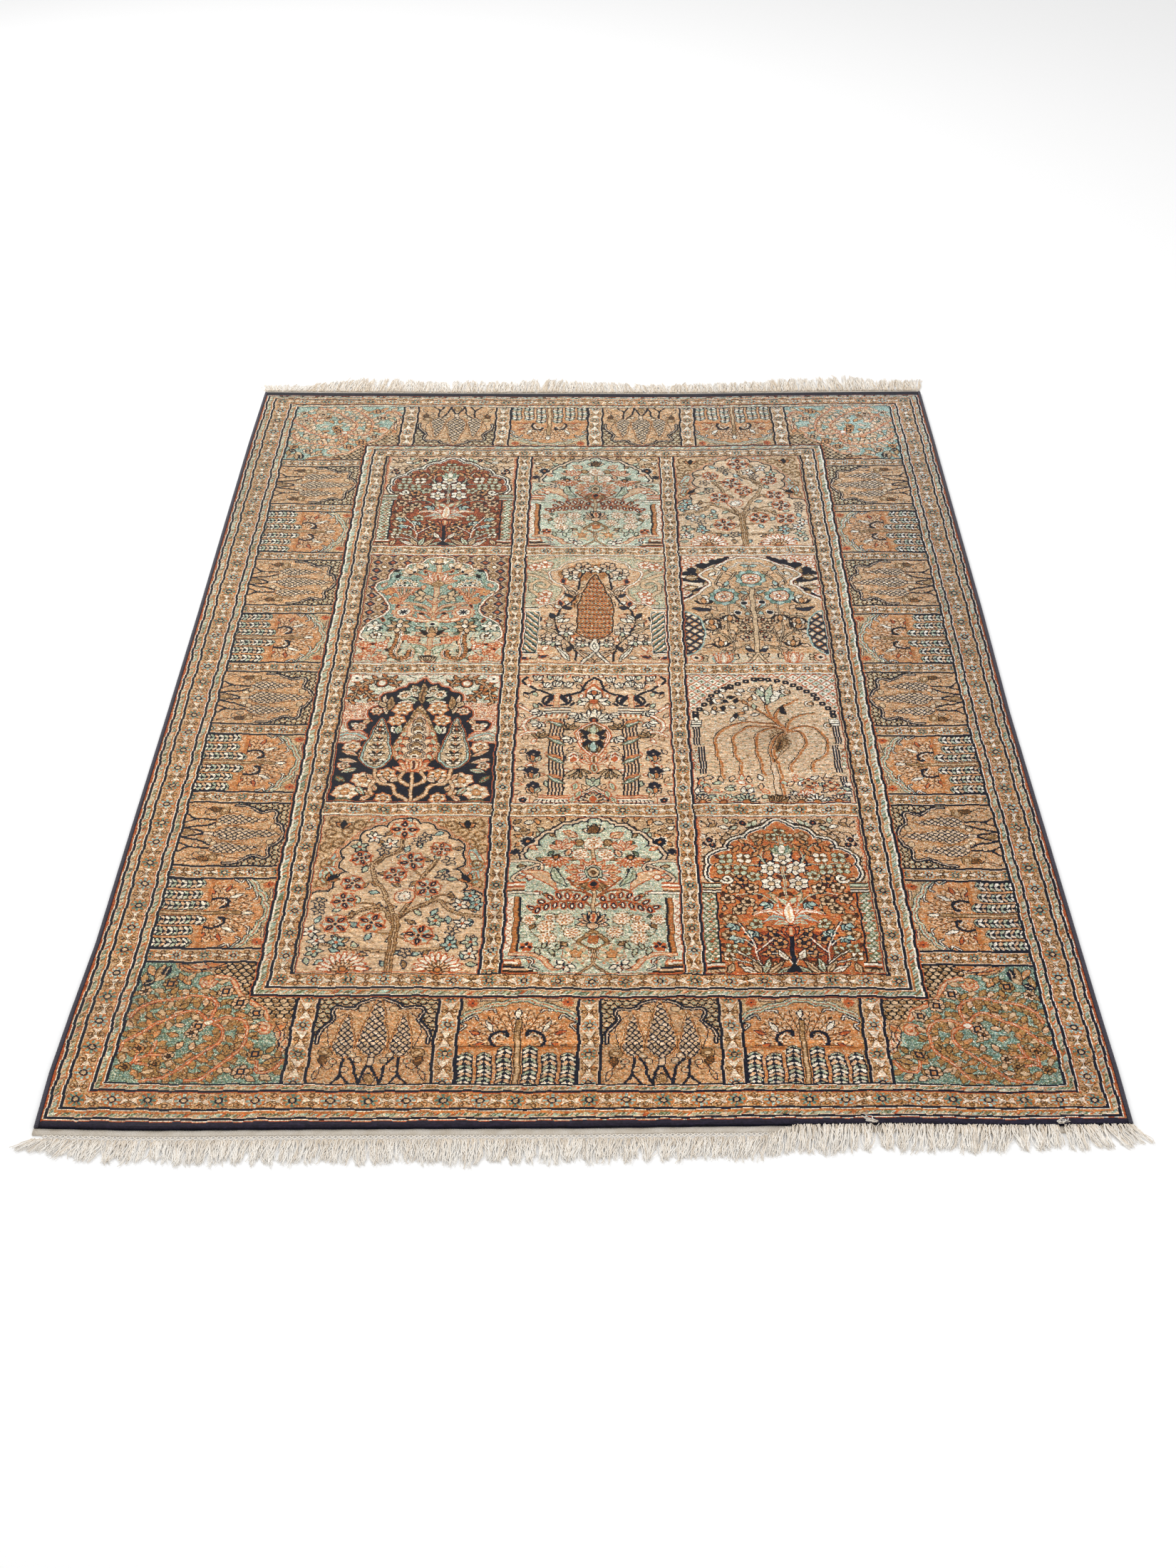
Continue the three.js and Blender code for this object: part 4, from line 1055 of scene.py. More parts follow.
def cypress_panel(width, height):
    """Border panel: three latticed cypresses over reeds on gold, under a wavy double line."""
    c = Chart(110, 112, GOLD, outline=BORDER_OUTLINE)
    speckle(c, c.x > 0, (APRICOT, PEACH, SAND, APRICOT, TAN), 5)
    line = ((3, 60), (4, 48), (10, 38), (15, 30), (12, 20), (16, 14), (26, 15), (33, 14), (37, 9), (45, 5),
            (55, 2))
    outline = np.vstack([smooth_line(line), [(56, 114), (3, 114)]])
    inside = c.area(outline) | (c.y > 60)
    speckle(c, ~inside, (SAND, TAN, SAND), 6)
    scale = np.hypot((c.x + 4 * (np.floor(c.y / 6) % 2)) % 8 - 4, c.y % 6)
    c.fill(~inside & (abs(scale - 4.2) < 0.7), INK)
    c.fill(~inside & (scale < 1.6), MINT)
    c.stems((line,), (NAVY, 5), (BLUSH, 2))
    c.stems((((24, 22), (17, 28), (12, 40), (12, 52), (16, 66)), ((16, 67), (9, 70), (7, 77), (9, 84)),
             ((9, 84), (13, 92), (19, 92), (22, 86)),
             ((10, 86), (9, 94), (5, 98), (4, 108), (9, 102), (10, 95))), (NAVY, 2))
    c.blob(13, 73, 6.4, 5.4, TAN, UMBER)
    c.blob(13, 73, 2.6, 2.2, SAND, RUSSET)
    c.blob(11, 83, 3.6, 5, RUSSET, UMBER)
    c.blob(41, 16, 4, 3.4, SAND, UMBER)
    for x, top, foot, half in ((29, 22, 78, 10), (55, 3, 78, 13)):
        tree = cypress(c, x, top, foot, half, BLUSH, ((APRICOT, 1), (RUSSET, 1)))
        c.lattice(tree, 6.2, 7.2, NAVY, (BLUSH, SAND), None, 1.4)
    c.stems((((29, 79), (29, 101), (21, 111)), ((29, 100), (36, 111)),
             ((46, 111), (43, 100), (41, 89), (34, 79)), ((46, 111), (50, 99), (54, 88))), (NAVY, 3))
    c.bar(52.6, 79, 55, 88, BLUSH, NAVY)
    c.leaf(55, 112, 55, 98, 8, TAN, NAVY)
    for x, y, heart in ((43, 82, IVORY), (38, 76, IVORY), (33, 94, CORAL), (21, 84, CORAL)):
        c.blob(x, y, 3, 3, SAND, NAVY)
        c.blob(x, y, 1.4, 1.4, heart)
    return resized(c.knots, width, height)


def orchard_panel(width, height):
    """Border panel: a bushy tree over six herringbone hedges on orange, under a pale ribbon."""
    c = Chart(110, 110, APRICOT, outline=BORDER_OUTLINE)
    ribbon = ((-1, 30), (7, 21), (17, 17), (24, 12), (32, 9), (40, 8), (46, 4), (56, 3))
    outline = np.vstack([smooth_line(ribbon), [(56, 112), (-1, 112)]])
    inside = c.area(outline)
    speckle(c, c.x > 0, (SAND, GOLD, SAND), 7)
    speckle(c, inside, (APRICOT, ORANGE, APRICOT, PEACH), 8)
    away = np.hypot(c.x - 55, c.y - 62)
    turn = np.degrees(np.arctan2(abs(c.x - 55), 62 - c.y)) / 13
    off = abs(turn - np.round(turn)) * away * 0.23
    crown = inside & (away < 46) & (away > 6) & (c.y < 66)
    herring = (away - 1.3 * off) % 6
    c.fill(crown & (herring < 1.3) & (off > 1), RUSSET)
    c.fill(crown & (abs(herring - 3) < 1.4) & (off > 1), PEACH)
    c.fill(crown & (off < 0.5) & (away > 16), UMBER)
    c.stem(ribbon, MINT, 5, NAVY)
    c.stem(ribbon, CORAL, 1)
    c.stems((((2, 30), (12, 24), (16, 28)), ((22, 17), (30, 16), (33, 19)), ((0, 42), (5, 36), (1, 33))),
            (NAVY, 4), (IVORY, 2))
    c.flower(9, 7, 6, 8, (CORAL,), heart=NAVY)
    c.bar(17, 2, 31, 4, SAND, SLATE)
    c.stem(((46, 49), (44, 44), (38, 43), (32, 47), (30, 54), (32, 61), (37, 65)), NAVY, 4)
    c.stem(((46, 52), (40, 47), (35, 51), (34, 58)), IVORY, 1)
    c.leaves(((31, 44, 25, 31), (20, 48, 10, 44), (24, 60, 14, 65)), 4, (IVORY, CORAL, CORAL), (NAVY,))
    c.bar(0, 63, 52, 67, ORANGE)
    c.stem(((55, 108), (55, 30)), TAN, 4, UMBER)
    c.stem(((55, 108), (55, 56)), SAND, 1)
    c.leaf(55, 27, 55, 16, 5, IVORY, NAVY)
    for x, top in ((7.5, 72), (25.5, 72), (43.5, 63)):
        across = abs(abs(c.x - 55) - (55 - x))
        hedge = (across < 7) & (c.y > top + across ** 2 * 0.07)
        c.rims(hedge, ((NAVY, 1),))
        c.fill(hedge, NAVY)
        row = (c.y - top - 2 - across * 0.6) / 5.2
        leaf = np.hypot((across - 3.6) / 2.8, (row % 1 - 0.5) * 2.6) < 1
        for k, yarn in enumerate((IVORY, PEACH, MINT)):
            c.fill(hedge & leaf & (np.floor(row) % 3 == k), yarn)
    return resized(c.knots, width, height)


def corner_block(ground=(TEAL, SKY, SAGE, TEAL, MINT, TEAL), leaves=(GOLD, SAND, PEACH, APRICOT)):
    """Front left corner of the border: leafy coral branches from one bud on teal, behind a wavy line."""
    c = Chart(CORNER_WIDTH, CORNER_LENGTH, TEAL, mirrored=False, outline=BORDER_OUTLINE)
    speckle(c, c.x > 0, ground, 3)
    line = ((28, -2), (36, 8), (52, 14), (66, 12), (74, 17), (85, 20), (94, 26), (100, 35), (108, 47),
            (121, 56), (131, 63), (136, 74), (141, 84), (147, 96), (150, 112), (162, 124))
    outside = c.area(np.vstack([smooth_line(line), [(162, -2)]]))
    speckle(c, outside, (PEACH, TAN, APRICOT, TAN), 4)
    c.scales(outside & (c.y < 74) & (c.x > 72), 8, INK, (SAND, TAN))
    c.leaves(((34, 2, 60, 12), (46, 2, 74, 8), (60, 1, 84, 3), (150, 84, 153, 108), (156, 80, 146, 92),
              (158, 100, 155, 122)), 8, (APRICOT, PEACH), (NAVY,), CORAL)
    c.stems((((36, 1), (48, 8), (66, 7), (80, 1)), ((144, 78), (152, 92), (150, 106), (158, 114))),
            (NAVY, 2))
    for yarn, width in ((CORAL, 5.4), (PEACH, 2.4)):
        c.stem(line[4:12], yarn, width)
        for curl_x, curl_y, start in ((68, 25, 0), (135, 88, 180)):
            c.curl(curl_x, curl_y, 8, yarn, width, turns=1.4, start=start)
    c.leaves(((4, 4, 16, 20), (20, 2, 15, 24), (26, 4, 22, 22), (4, 14, 6, 34), (42, 16, 52, 30),
              (36, 18, 30, 36), (14, 26, 4, 30)), 7, (APRICOT, TAN, NAVY, GOLD), (NAVY,), SAND)
    bud = (79, 79)
    branches = ((bud, (72, 68), (65, 63), (56, 65), (41, 73), (28, 81), (15, 96), (4, 105), (0, 118)),
                (bud, (84, 62), (82, 53), (74, 46), (60, 44), (41, 48), (23, 52), (8, 62), (3, 74)),
                (bud, (96, 73), (111, 75), (118, 86), (119, 99), (115, 114), (105, 127), (94, 140),
                 (85, 152), (72, 153)),
                (bud, (89, 83), (96, 92), (94, 103), (83, 116), (71, 129), (60, 140), (47, 151), (30, 154)),
                ((17, 134), (20, 126), (30, 121), (34, 104)), ((19, 131), (34, 134), (42, 136)),
                ((19, 131), (19, 112)), ((30, 121), (46, 121)),
                ((133, 126), (137, 142), (150, 141), (158, 128)))
    for branch in branches:
        c.spray(branch, PEACH, leaves[0], RUSSET, 11, 6, 8, 50, 3)
    c.sprinkle(~outside & (c.x + c.y > 40), 9, leaves, (UMBER, RUSSET), 15, 11)
    c.stems(branches, (CORAL, 4), (PEACH, 2))
    for x, y, r in ((10, 39, 7), (32, 28, 8), (90, 39, 8), (106, 54, 9), (125, 68, 8), (70, 84, 8),
                    (66, 92, 7), (50, 123, 6), (19, 114, 6), (40, 134, 6), (132, 120, 8), (122, 143, 9),
                    (12, 138, 6)):
        clover(c, x, y, r, leaves[x % 4], UMBER, RUSSET, 6)
        if r > 7:
            c.bar(x - 4, y - 4, x + 4, y + 4, NAVY)
            c.bar(x - 2, y - 2, x + 2, y + 2, APRICOT)
    c.blob(79, 79, 4, 3, IVORY, CORAL)
    c.leaves(((140, 132, 156, 126), (142, 146, 152, 154), (128, 148, 138, 154)), 6, leaves, (NAVY,))
    return c.knots


def guard_strip(length, width, count):
    """Guard stripe: rosettes with square eyes, and between each two an hourglass of pale wedges against
    brown ones."""
    c = Chart(length, width, SAND, mirrored=False, outline=BORDER_OUTLINE)
    pitch = length / count
    number = np.floor(c.x / pitch + 0.5)
    dx = c.x - number * pitch
    dy = c.y - width / 2
    middle = pitch / 2 - abs(dx)
    wedge = abs(dy) - 0.62 * middle * width / 19
    speckle(c, wedge < 0, (BLUSH, IVORY, BLUSH, IVORY), 1)
    speckle(c, wedge >= 0, (GOLD, PEACH, APRICOT, SAND, GOLD), 2)
    c.fill((abs(wedge - 0.6) < 0.6) & (middle < 9), RUSSET)
    c.fill(abs(np.hypot(middle, abs(dy) - 0.3 * width) - 2.2) < 0.7, RUSSET)
    r = np.hypot(dx, dy) * 19 / width
    turn = np.degrees(np.arctan2(dy, dx)) + 22.5
    c.fill(r < 9.6, ORANGE)
    cell = (r < 8.2) & (r > 4.4) & (abs(turn % 45 - 22.5) < 13)
    c.fill(cell & (number % 2 == 0), TEAL)
    c.fill(cell & (number % 2 == 1), SKY)
    c.fill(r < 4.2, NAVY)
    c.fill(r < 2.3, SAND)
    return c.knots


def divider(length, width, count):
    """Strip between two border panels: rails and a short row of rosettes."""
    knots = np.full((length, width), NAVY, np.uint8)
    knots[:, 3:-3] = BLUSH
    knots[:, 4:-4] = guard_strip(length, width - 8, count).T
    return knots


def paste(knots, x, y, tile):
    """Tile put into the chart with its first knot at (x, y)."""
    height, width = tile.shape
    knots[y:y + height, x:x + width] = tile


BARBER = (MINT, PEACH, SAGE, MINT, SKY, TAN, MINT, CORAL, SAGE)

# Bands of the border from outside in: distance from the sides and from the ends, then the yarns, which
# slant by turns where there are more than one
BANDS = (
    (0, 9, (CORAL,)),
    (2, 10, (IVORY,)),
    (3, 11, (NAVY,)),
    (6, 14, (BLUSH,)),
    (7, 15, BARBER),
    (11, 19, (ORANGE,)),
    (13, 22, (IVORY,)),
    (14, 23, (NAVY,)),
    (17, 26, (SAND,)),
    (37, 45, (CORAL,)),
    (38, 46, (IVORY,)),
    (39, 46, (NAVY,)),
    (42, 49, (BLUSH,)),
    (43, 50, BARBER),
    (47, 53, (ORANGE,)),
    (49, 54, (IVORY,)),
    (50, 55, (NAVY,)),
    (53, 58, (GOLD,)),
    (166, 168, (CORAL,)),
    (167, 169, (NAVY,)),
    (170, 172, (IVORY,)),
    (172, 173, BARBER),
    (177, 178, (ORANGE,)),
    (179, 179, (BLUSH,)),
    (180, 180, (NAVY,)),
    (183, 183, (IVORY,)),
    (184, 184, (GOLD,)),
    (199, 199, (IVORY,)),
    (200, 200, (NAVY,)),
    (203, 203, (SAND,)),
)
# The first of the bands that lie over the border's panels
INNER_BANDS = 18


def lay_band(knots, side, end, yarns):
    """Everything inside a distance from the sides and the ends in a band's yarns."""
    y, x = np.mgrid[0:CHART_LENGTH, 0:CHART_WIDTH]
    inside = (x >= side) & (x < CHART_WIDTH - side) & (y >= end) & (y < CHART_LENGTH - end)
    order = np.random.default_rng(side + end).integers(0, len(yarns), CHART_WIDTH + CHART_LENGTH)
    slant = order[((x + y) / 1.5).astype(int)]
    knots[inside] = np.array(yarns, np.uint8)[slant][inside]


def lay_guard(knots, side, end, width, across, along):
    """A guard stripe round the rug: the strips at the ends run through the corners."""
    half = width // 2
    strip = guard_strip(CHART_LENGTH - 2 * end - 2 * half, width, along).T
    for x in (side, CHART_WIDTH - side - width):
        paste(knots, x, end + half, strip)
    strip = guard_strip(CHART_WIDTH - 2 * side - 2 * half, width, across)
    for y in (end, CHART_LENGTH - end - width):
        paste(knots, side + half, y, strip)
        paste(knots, side, y, strip[:, :half][:, ::-1])
        paste(knots, CHART_WIDTH - side - half, y, strip[:, :half])


def border_row():
    """Front row of the border between its corners: five dividers and four panels."""
    post, panel = 24, 111
    row = np.full((ROW_DEPTH, ROW_LENGTH), GOLD, np.uint8)
    for k, maker in enumerate(2 * (cypress_panel, orchard_panel)):
        x = k * (post + panel)
        paste(row, x, 0, divider(ROW_DEPTH, post, 3))
        paste(row, x + post, 0, maker(panel if k < 3 else panel + 1, ROW_DEPTH))
    paste(row, ROW_LENGTH - post, 0, divider(ROW_DEPTH, post, 3))
    return row


def border_column():
    """Left column of the border between its corners, feet outwards: nine dividers and eight panels."""
    post, panel = 22, 102
    column = np.full((COLUMN_LENGTH, COLUMN_DEPTH), GOLD, np.uint8)
    for k, maker in enumerate(4 * (cypress_panel, orchard_panel)):
        y = k * (post + panel)
        paste(column, 0, y, divider(COLUMN_DEPTH, post, 4).T)
        paste(column, 0, y + post, np.rot90(maker(panel, COLUMN_DEPTH), -1))
    paste(column, 0, COLUMN_LENGTH - post, divider(COLUMN_DEPTH, post, 4).T)
    return column


# Layout of the whole rug

def field_rows():
    """The twelve compartments from the back row to the front one."""
    tree, vase, lilies = flowering_tree(), vase_garden(), lily_arch()
    red_lilies = lily_arch((BRICK, CORAL, MADDER, BRICK))
    return ((red_lilies, vase, tree[:, ::-1]), (teal_vase(), urn_tree(), gold_arch()),
            (cypress_arch(), two_pillars(), willow()), (tree, vase, lilies))


def lay_field(knots):
    """Compartments with guard stripes between them and a thin coral line inside each."""
    width = CHART_WIDTH - 2 * FIELD_SIDE
    length = CHART_LENGTH - 2 * FIELD_END
    for row in (1, 2, 3):
        top = FIELD_END + row * PANEL_LENGTH + (row - 1) * ROW_STRIPE
        paste(knots, FIELD_SIDE, top, np.full((ROW_STRIPE, width), SLATE, np.uint8))
        paste(knots, FIELD_SIDE, top + 1, np.full((ROW_STRIPE - 2, width), IVORY, np.uint8))
        paste(knots, FIELD_SIDE, top + 3, guard_strip(width, ROW_STRIPE - 6, 18))
    for right in COLUMNS[1:]:
        x = right - COLUMN_STRIPE
        paste(knots, x, FIELD_END, np.full((length, COLUMN_STRIPE), NAVY, np.uint8))
        paste(knots, x + 2, FIELD_END, np.full((length, COLUMN_STRIPE - 4), IVORY, np.uint8))
        paste(knots, x + 3, FIELD_END, guard_strip(length, COLUMN_STRIPE - 6, 32).T)
    for row, panels in enumerate(field_rows()):
        for x, panel in zip(COLUMNS, panels):
            panel[[1, -2], 1:-1] = CORAL
            panel[1:-1, [1, -2]] = CORAL
            panel[:, [0, -1]] = SLATE
            paste(knots, x, FIELD_END + row * (PANEL_LENGTH + ROW_STRIPE), panel)


# Near lots of yarn that turn up among the knots of each yarn
NEAR_LOTS = {
    SAND: (BLUSH, TAN, PEACH, SAND),
    TAN: (GOLD, RUSSET, SAND, PEACH),
    GOLD: (TAN, RUSSET, APRICOT, SAND),
    PEACH: (SAND, APRICOT, BLUSH, IVORY),
    BLUSH: (SAND, PEACH, IVORY, SAND),
    IVORY: (BLUSH, SAND, IVORY, MINT),
    MINT: (SKY, SAND, IVORY, SAGE),
    TEAL: (SKY, SAGE, MINT, TEAL),
    SKY: (MINT, TEAL, IVORY, SKY),
    SAGE: (TEAL, RUSSET, MINT, SAGE),
    ORANGE: (APRICOT, CORAL, TAN, PEACH),
    APRICOT: (PEACH, ORANGE, GOLD, SAND),
    CORAL: (ORANGE, BRICK, APRICOT, CORAL),
    BRICK: (CORAL, MADDER, BRICK, ORANGE),
    RUSSET: (UMBER, TAN, RUSSET, ORANGE),
    UMBER: (INK, RUSSET, UMBER, RUSSET),
    NAVY: (NAVY, SLATE, NAVY, INK),
}


# How far the weaving drifted from the chart, in knots: place across or along, drift there
DRIFT_ACROSS = ((0, 200, 380, 600, 780, 920, 992), (0, 0, 5, 8, 8, 4.5, 0))
DRIFT_ALONG = ((0, 9, 16, 31, 46, 53, 100, 165, 209, 300, 470, 720, 1010, 1220, 1330, 1400, 1440),
               (0, 2.5, 0, -8, -10, -9, -10, -4.5, -5.5, -4, -2.5, 3, 5.5, 6.5, 8, 6, 1.5))
DRIFT_SLOPE = ((0, 200, 470, 720, 1010, 1330, 1400, 1440), (0, 0, 6, 7.4, 11.4, 12, 8, 0))


def worked_by_hand(knots):
    """The chart as it is knotted: the weaving drifts, rows waver by a knot or so, and near lots of yarn
    are mixed in."""
    y, x = np.mgrid[0:CHART_LENGTH, 0:CHART_WIDTH]
    across = x - np.interp(x, *DRIFT_ACROSS)
    along = y - np.interp(y, *DRIFT_ALONG) - (x / CHART_WIDTH - 0.5) * np.interp(y, *DRIFT_SLOPE)
    across = across + 0.5 * np.sin(y / 17 + 2 * np.sin(x / 71)) + 0.6 * np.sin(y / 4.7 + x / 53)
    along = along + 0.5 * np.sin(x / 23 + 2 * np.sin(y / 83)) + 0.6 * np.sin(x / 5.9 + y / 47)
    moved = knots[np.clip(along + 0.5, 0, CHART_LENGTH - 1).astype(int),
                  np.clip(across + 0.5, 0, CHART_WIDTH - 1).astype(int)]
    rng = np.random.default_rng(77)
    rough = slanting_runs(rng, knots.shape)
    lot = rng.integers(0, 4, knots.shape)
    mixed_in = moved.copy()
    for yarn, others in NEAR_LOTS.items():
        swapped = (moved == yarn) & (rough > 0.57)
        mixed_in[swapped] = np.array(others, np.uint8)[lot[swapped]]
    return mixed_in


def knot_chart():
    """The whole rug in knots, from its back end down to its front end."""
    knots = np.full((CHART_LENGTH, CHART_WIDTH), INDIGO, np.uint8)
    for side, end, yarns in BANDS:
        lay_band(knots, side, end, yarns)
    corner = corner_block()
    # The back corners in paler yarns: painted sheen of the pile at the back end
    corner_with_painted_sheen = corner_block((TEAL, SKY, MINT, TEAL, SKY), (PEACH, SAND, APRICOT, BLUSH))
    row = border_row()
    column = border_column()
    front = CHART_LENGTH - BORDER_END
    corner_top = front - CORNER_LENGTH
    for x, flip in ((BORDER_SIDE, 1), (CHART_WIDTH - BORDER_SIDE - CORNER_WIDTH, -1)):
        paste(knots, x, corner_top, corner[:, ::flip])
        paste(knots, x, BORDER_END, corner_with_painted_sheen[::-1, ::flip])
    paste(knots, BORDER_SIDE + CORNER_WIDTH, front - ROW_DEPTH, row)
    paste(knots, BORDER_SIDE + CORNER_WIDTH, BORDER_END, row[::-1])
    paste(knots, BORDER_SIDE, corner_top - COLUMN_LENGTH, column)
    paste(knots, CHART_WIDTH - BORDER_SIDE - COLUMN_DEPTH, corner_top - COLUMN_LENGTH, column[:, ::-1])
    for side, end, yarns in BANDS[INNER_BANDS:]:
        lay_band(knots, side, end, yarns)
    lay_guard(knots, side=18, end=26, width=19, across=28, along=42)
    lay_guard(knots, side=184, end=184, width=16, across=18, along=32)
    lay_field(knots)
    return worked_by_hand(knots)


# Shape of the knotted part, in metres

KNOTTED_WIDTH = 1.250
KNOTTED_LENGTH = 1.800
PILE_HEIGHT = 0.005
CORD_WIDTH = 0.006
SEAM = 0.0003
WEB_WIDTH = 0.009
HEADING = 0.0096

# How far each side is drawn in, by place along the rug: along, left, right
SIDES = np.array((
    (-0.900, 0.0, 0.003),
    (-0.820, -0.002, 0.0025),
    (-0.720, 0.0005, 0.004),
    (-0.600, 0.005, 0.005),
    (-0.400, 0.0045, 0.0065),
    (-0.120, 0.0045, 0.009),
    (0.150, 0.0035, 0.006),
    (0.430, 0.001, 0.0055),
    (0.700, -0.001, 0.0045),
    (0.900, 0.0, 0.0045),
))

# How far each end line lies behind its straight line, by place across: across, front, back
ENDS = np.array((
    (-0.625, 0.001, 0.002),
    (-0.500, -0.002, -0.001),
    (-0.250, 0.001, -0.005),
    (0.0, 0.003, -0.007),
    (0.150, 0.006, -0.009),
    (0.350, 0.009, -0.004),
    (0.480, 0.007, -0.002),
    (0.625, 0.009, 0.0),
))

# Low ripples: across, along, turn in degrees, half length, half width, rise
RIPPLES = np.array((
    (-0.330, 0.800, 3, 0.260, 0.055, 0.0026),
    (0.510, 0.760, -38, 0.190, 0.060, 0.0024),
    (0.470, 0.330, 82, 0.230, 0.060, 0.0020),
    (-0.470, 0.520, 12, 0.170, 0.055, 0.0018),
    (0.060, -0.745, 1, 0.480, 0.060, 0.0016),
    (-0.480, -0.420, -8, 0.150, 0.060, 0.0015),
))

# Sharp creases pressed into the pile: across, along, turn, half length, half width, rise
CREASES = np.array((
    (0.020, -0.772, 0.6, 0.420, 0.006, 0.0012),
    (-0.430, -0.672, 3, 0.110, 0.005, 0.0010),
    (-0.300, 0.838, -2, 0.190, 0.010, 0.0016),
    (0.500, 0.790, -20, 0.120, 0.009, 0.0014),
    (-0.560, 0.080, 2, 0.050, 0.006, 0.0008),
    (-0.555, -0.130, -3, 0.055, 0.006, 0.0008),
    (0.560, 0.420, 8, 0.060, 0.008, 0.0010),
))


def knotted_place(u, v, inset=0.0):
    """Place at parts u across and v along: straight lines between the uneven sides and ends."""
    straight = (v - 0.5) * KNOTTED_LENGTH
    left = -KNOTTED_WIDTH / 2 + np.interp(straight, SIDES[:, 0], SIDES[:, 1]) + inset
    right = KNOTTED_WIDTH / 2 - np.interp(straight, SIDES[:, 0], SIDES[:, 2]) - inset
    x = left + (right - left) * u
    front = -KNOTTED_LENGTH / 2 + np.interp(x, ENDS[:, 0], ENDS[:, 1])
    back = KNOTTED_LENGTH / 2 + np.interp(x, ENDS[:, 0], ENDS[:, 2])
    return x, front + (back - front) * v


def hump_rise(rows, x, y):
    """Sum of smooth humps: each is its rise times the squared product of one less each squared share."""
    rise = np.zeros_like(x)
    for across, along, turn, half_length, half_width, height in rows:
        c, s = math.cos(math.radians(turn)), math.sin(math.radians(turn))
        a = ((x - across) * c + (y - along) * s) / half_length
        b = ((y - along) * c - (x - across) * s) / half_width
        rise += height * (np.maximum(0, 1 - a * a) * np.maximum(0, 1 - b * b)) ** 2
    return rise


def shift_of(node, x, y):
    """The move that brings a worked-out outline onto its node's box."""
    low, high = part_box(node)
    return ((low[0] + high[0]) / 2 - (x.min() + x.max()) / 2,
            (low[1] + high[1]) / 2 - (y.min() + y.max()) / 2)


EDGE_U, EDGE_V = np.meshgrid(np.linspace(0, 1, 33), np.linspace(0, 1, 45))
EDGE_X, EDGE_Y = knotted_place(EDGE_U, EDGE_V, CORD_WIDTH + SEAM)
SHIFT_X, SHIFT_Y = shift_of("pile", EDGE_X, EDGE_Y)


def new_piece(name, points, faces, material):
    """Mesh object at the origin from an array of points and a list of faces."""
    mesh = bpy.data.meshes.new(name)
    mesh.from_pydata(np.asarray(points).tolist(), [], faces)
    mesh.update()
    mesh.polygons.foreach_set("use_smooth", np.ones(len(mesh.polygons), bool))
    mesh.materials.append(material)
    piece = bpy.data.objects.new(name, mesh)
    bpy.context.scene.collection.objects.link(piece)
    return piece


# Shader maths

class Val:
    """A shader socket that takes part in sums: each operator adds a Math node."""

    tree = None

    def __init__(self, socket):
        self.socket = socket

    @staticmethod
    def node(kind, settings=None, **values):
        """Any node: its type, its settings, then its sockets by name or by number as n0, n1."""
        made = Val.tree.nodes.new(kind)
        for key, value in (settings or {}).items():
            setattr(made, key, value)
        for key, value in values.items():
            name = int(key[1:]) if key[0] == "n" and key[1:].isdigit() else key.replace("_", " ")
            socket = made.inputs[name]
            if isinstance(value, Val):
                Val.tree.links.new(value.socket, socket)
            else:
                socket.default_value = value
        return made

    @staticmethod
    def maths(operation, *values):
        """A Math node on values that are sockets or numbers."""
        made = Val.node("ShaderNodeMath", {"operation": operation},
                        **{f"n{k}": value for k, value in enumerate(values)})
        return Val(made.outputs[0])

    def __rsub__(self, other):
        return Val.maths("SUBTRACT", other, self)

    def floor(self):
        return Val.maths("FLOOR", self)

    def sine(self):
        return Val.maths("SINE", self)

    def least(self, other):
        return Val.maths("MINIMUM", self, other)

    def most(self, other):
        return Val.maths("MAXIMUM", self, other)

    def spread(self, low, high, low_to=0.0, high_to=1.0):
        """The value stretched from one range onto another and held inside it."""
        made = Val.node("ShaderNodeMapRange", {"clamp": True}, Value=self, From_Min=low, From_Max=high,
                        To_Min=low_to, To_Max=high_to)
        return Val(made.outputs[0])


OPERATORS = {"add": "ADD", "radd": "ADD", "sub": "SUBTRACT", "mul": "MULTIPLY", "rmul": "MULTIPLY",
             "truediv": "DIVIDE", "mod": "MODULO", "pow": "POWER", "gt": "GREATER_THAN", "lt": "LESS_THAN"}
for operator, kind in OPERATORS.items():
    setattr(Val, f"__{operator}__", lambda self, other, kind=kind: Val.maths(kind, self, other))


def attribute(name):
    """Number that the mesh stores under this name."""
    return Val(Val.node("ShaderNodeAttribute", {"attribute_name": name}).outputs["Fac"])


def parts(vector):
    """The three numbers of a place."""
    split = Val.node("ShaderNodeSeparateXYZ", n0=vector)
    return [Val(out) for out in split.outputs]


def object_place(scale=(1, 1, 1)):
    """Place on the piece in metres, times a scale."""
    place = Val(Val.node("ShaderNodeTexCoord").outputs["Object"])
    return Val(Val.node("ShaderNodeMapping", Vector=place, Scale=scale).outputs[0])


def noise(vector, scale, detail=2.0, roughness=0.5):
    made = Val.node("ShaderNodeTexNoise", Vector=vector, Scale=scale, Detail=detail, Roughness=roughness)
    return Val(made.outputs[0])


def mixed(factor, a, b, blend="MIX"):
    """Colours mixed by a factor."""
    made = Val.node("ShaderNodeMix", {"data_type": "RGBA", "blend_type": blend})
    for number, value in ((0, factor), (6, a), (7, b)):
        if isinstance(value, Val):
            Val.tree.links.new(value.socket, made.inputs[number])
        else:
            made.inputs[number].default_value = value
    return Val(made.outputs[2])


def brightened(colour, amount):
    """Colour made lighter or darker by a factor that varies."""
    made = Val.node("ShaderNodeVectorMath", {"operation": "SCALE"}, n0=colour, Scale=amount)
    return Val(made.outputs[0])


def ramp(value, stops, constant=False):
    """Colour by value between stops, or in steps."""
    made = Val.node("ShaderNodeValToRGB", Fac=value)
    band = made.color_ramp
    band.interpolation = "CONSTANT" if constant else "LINEAR"
    while len(band.elements) < len(stops):
        band.elements.new(1.0)
    for element, (place, colour) in zip(band.elements, stops):
        element.position = place
        element.color = colour
    return Val(made.outputs[0])


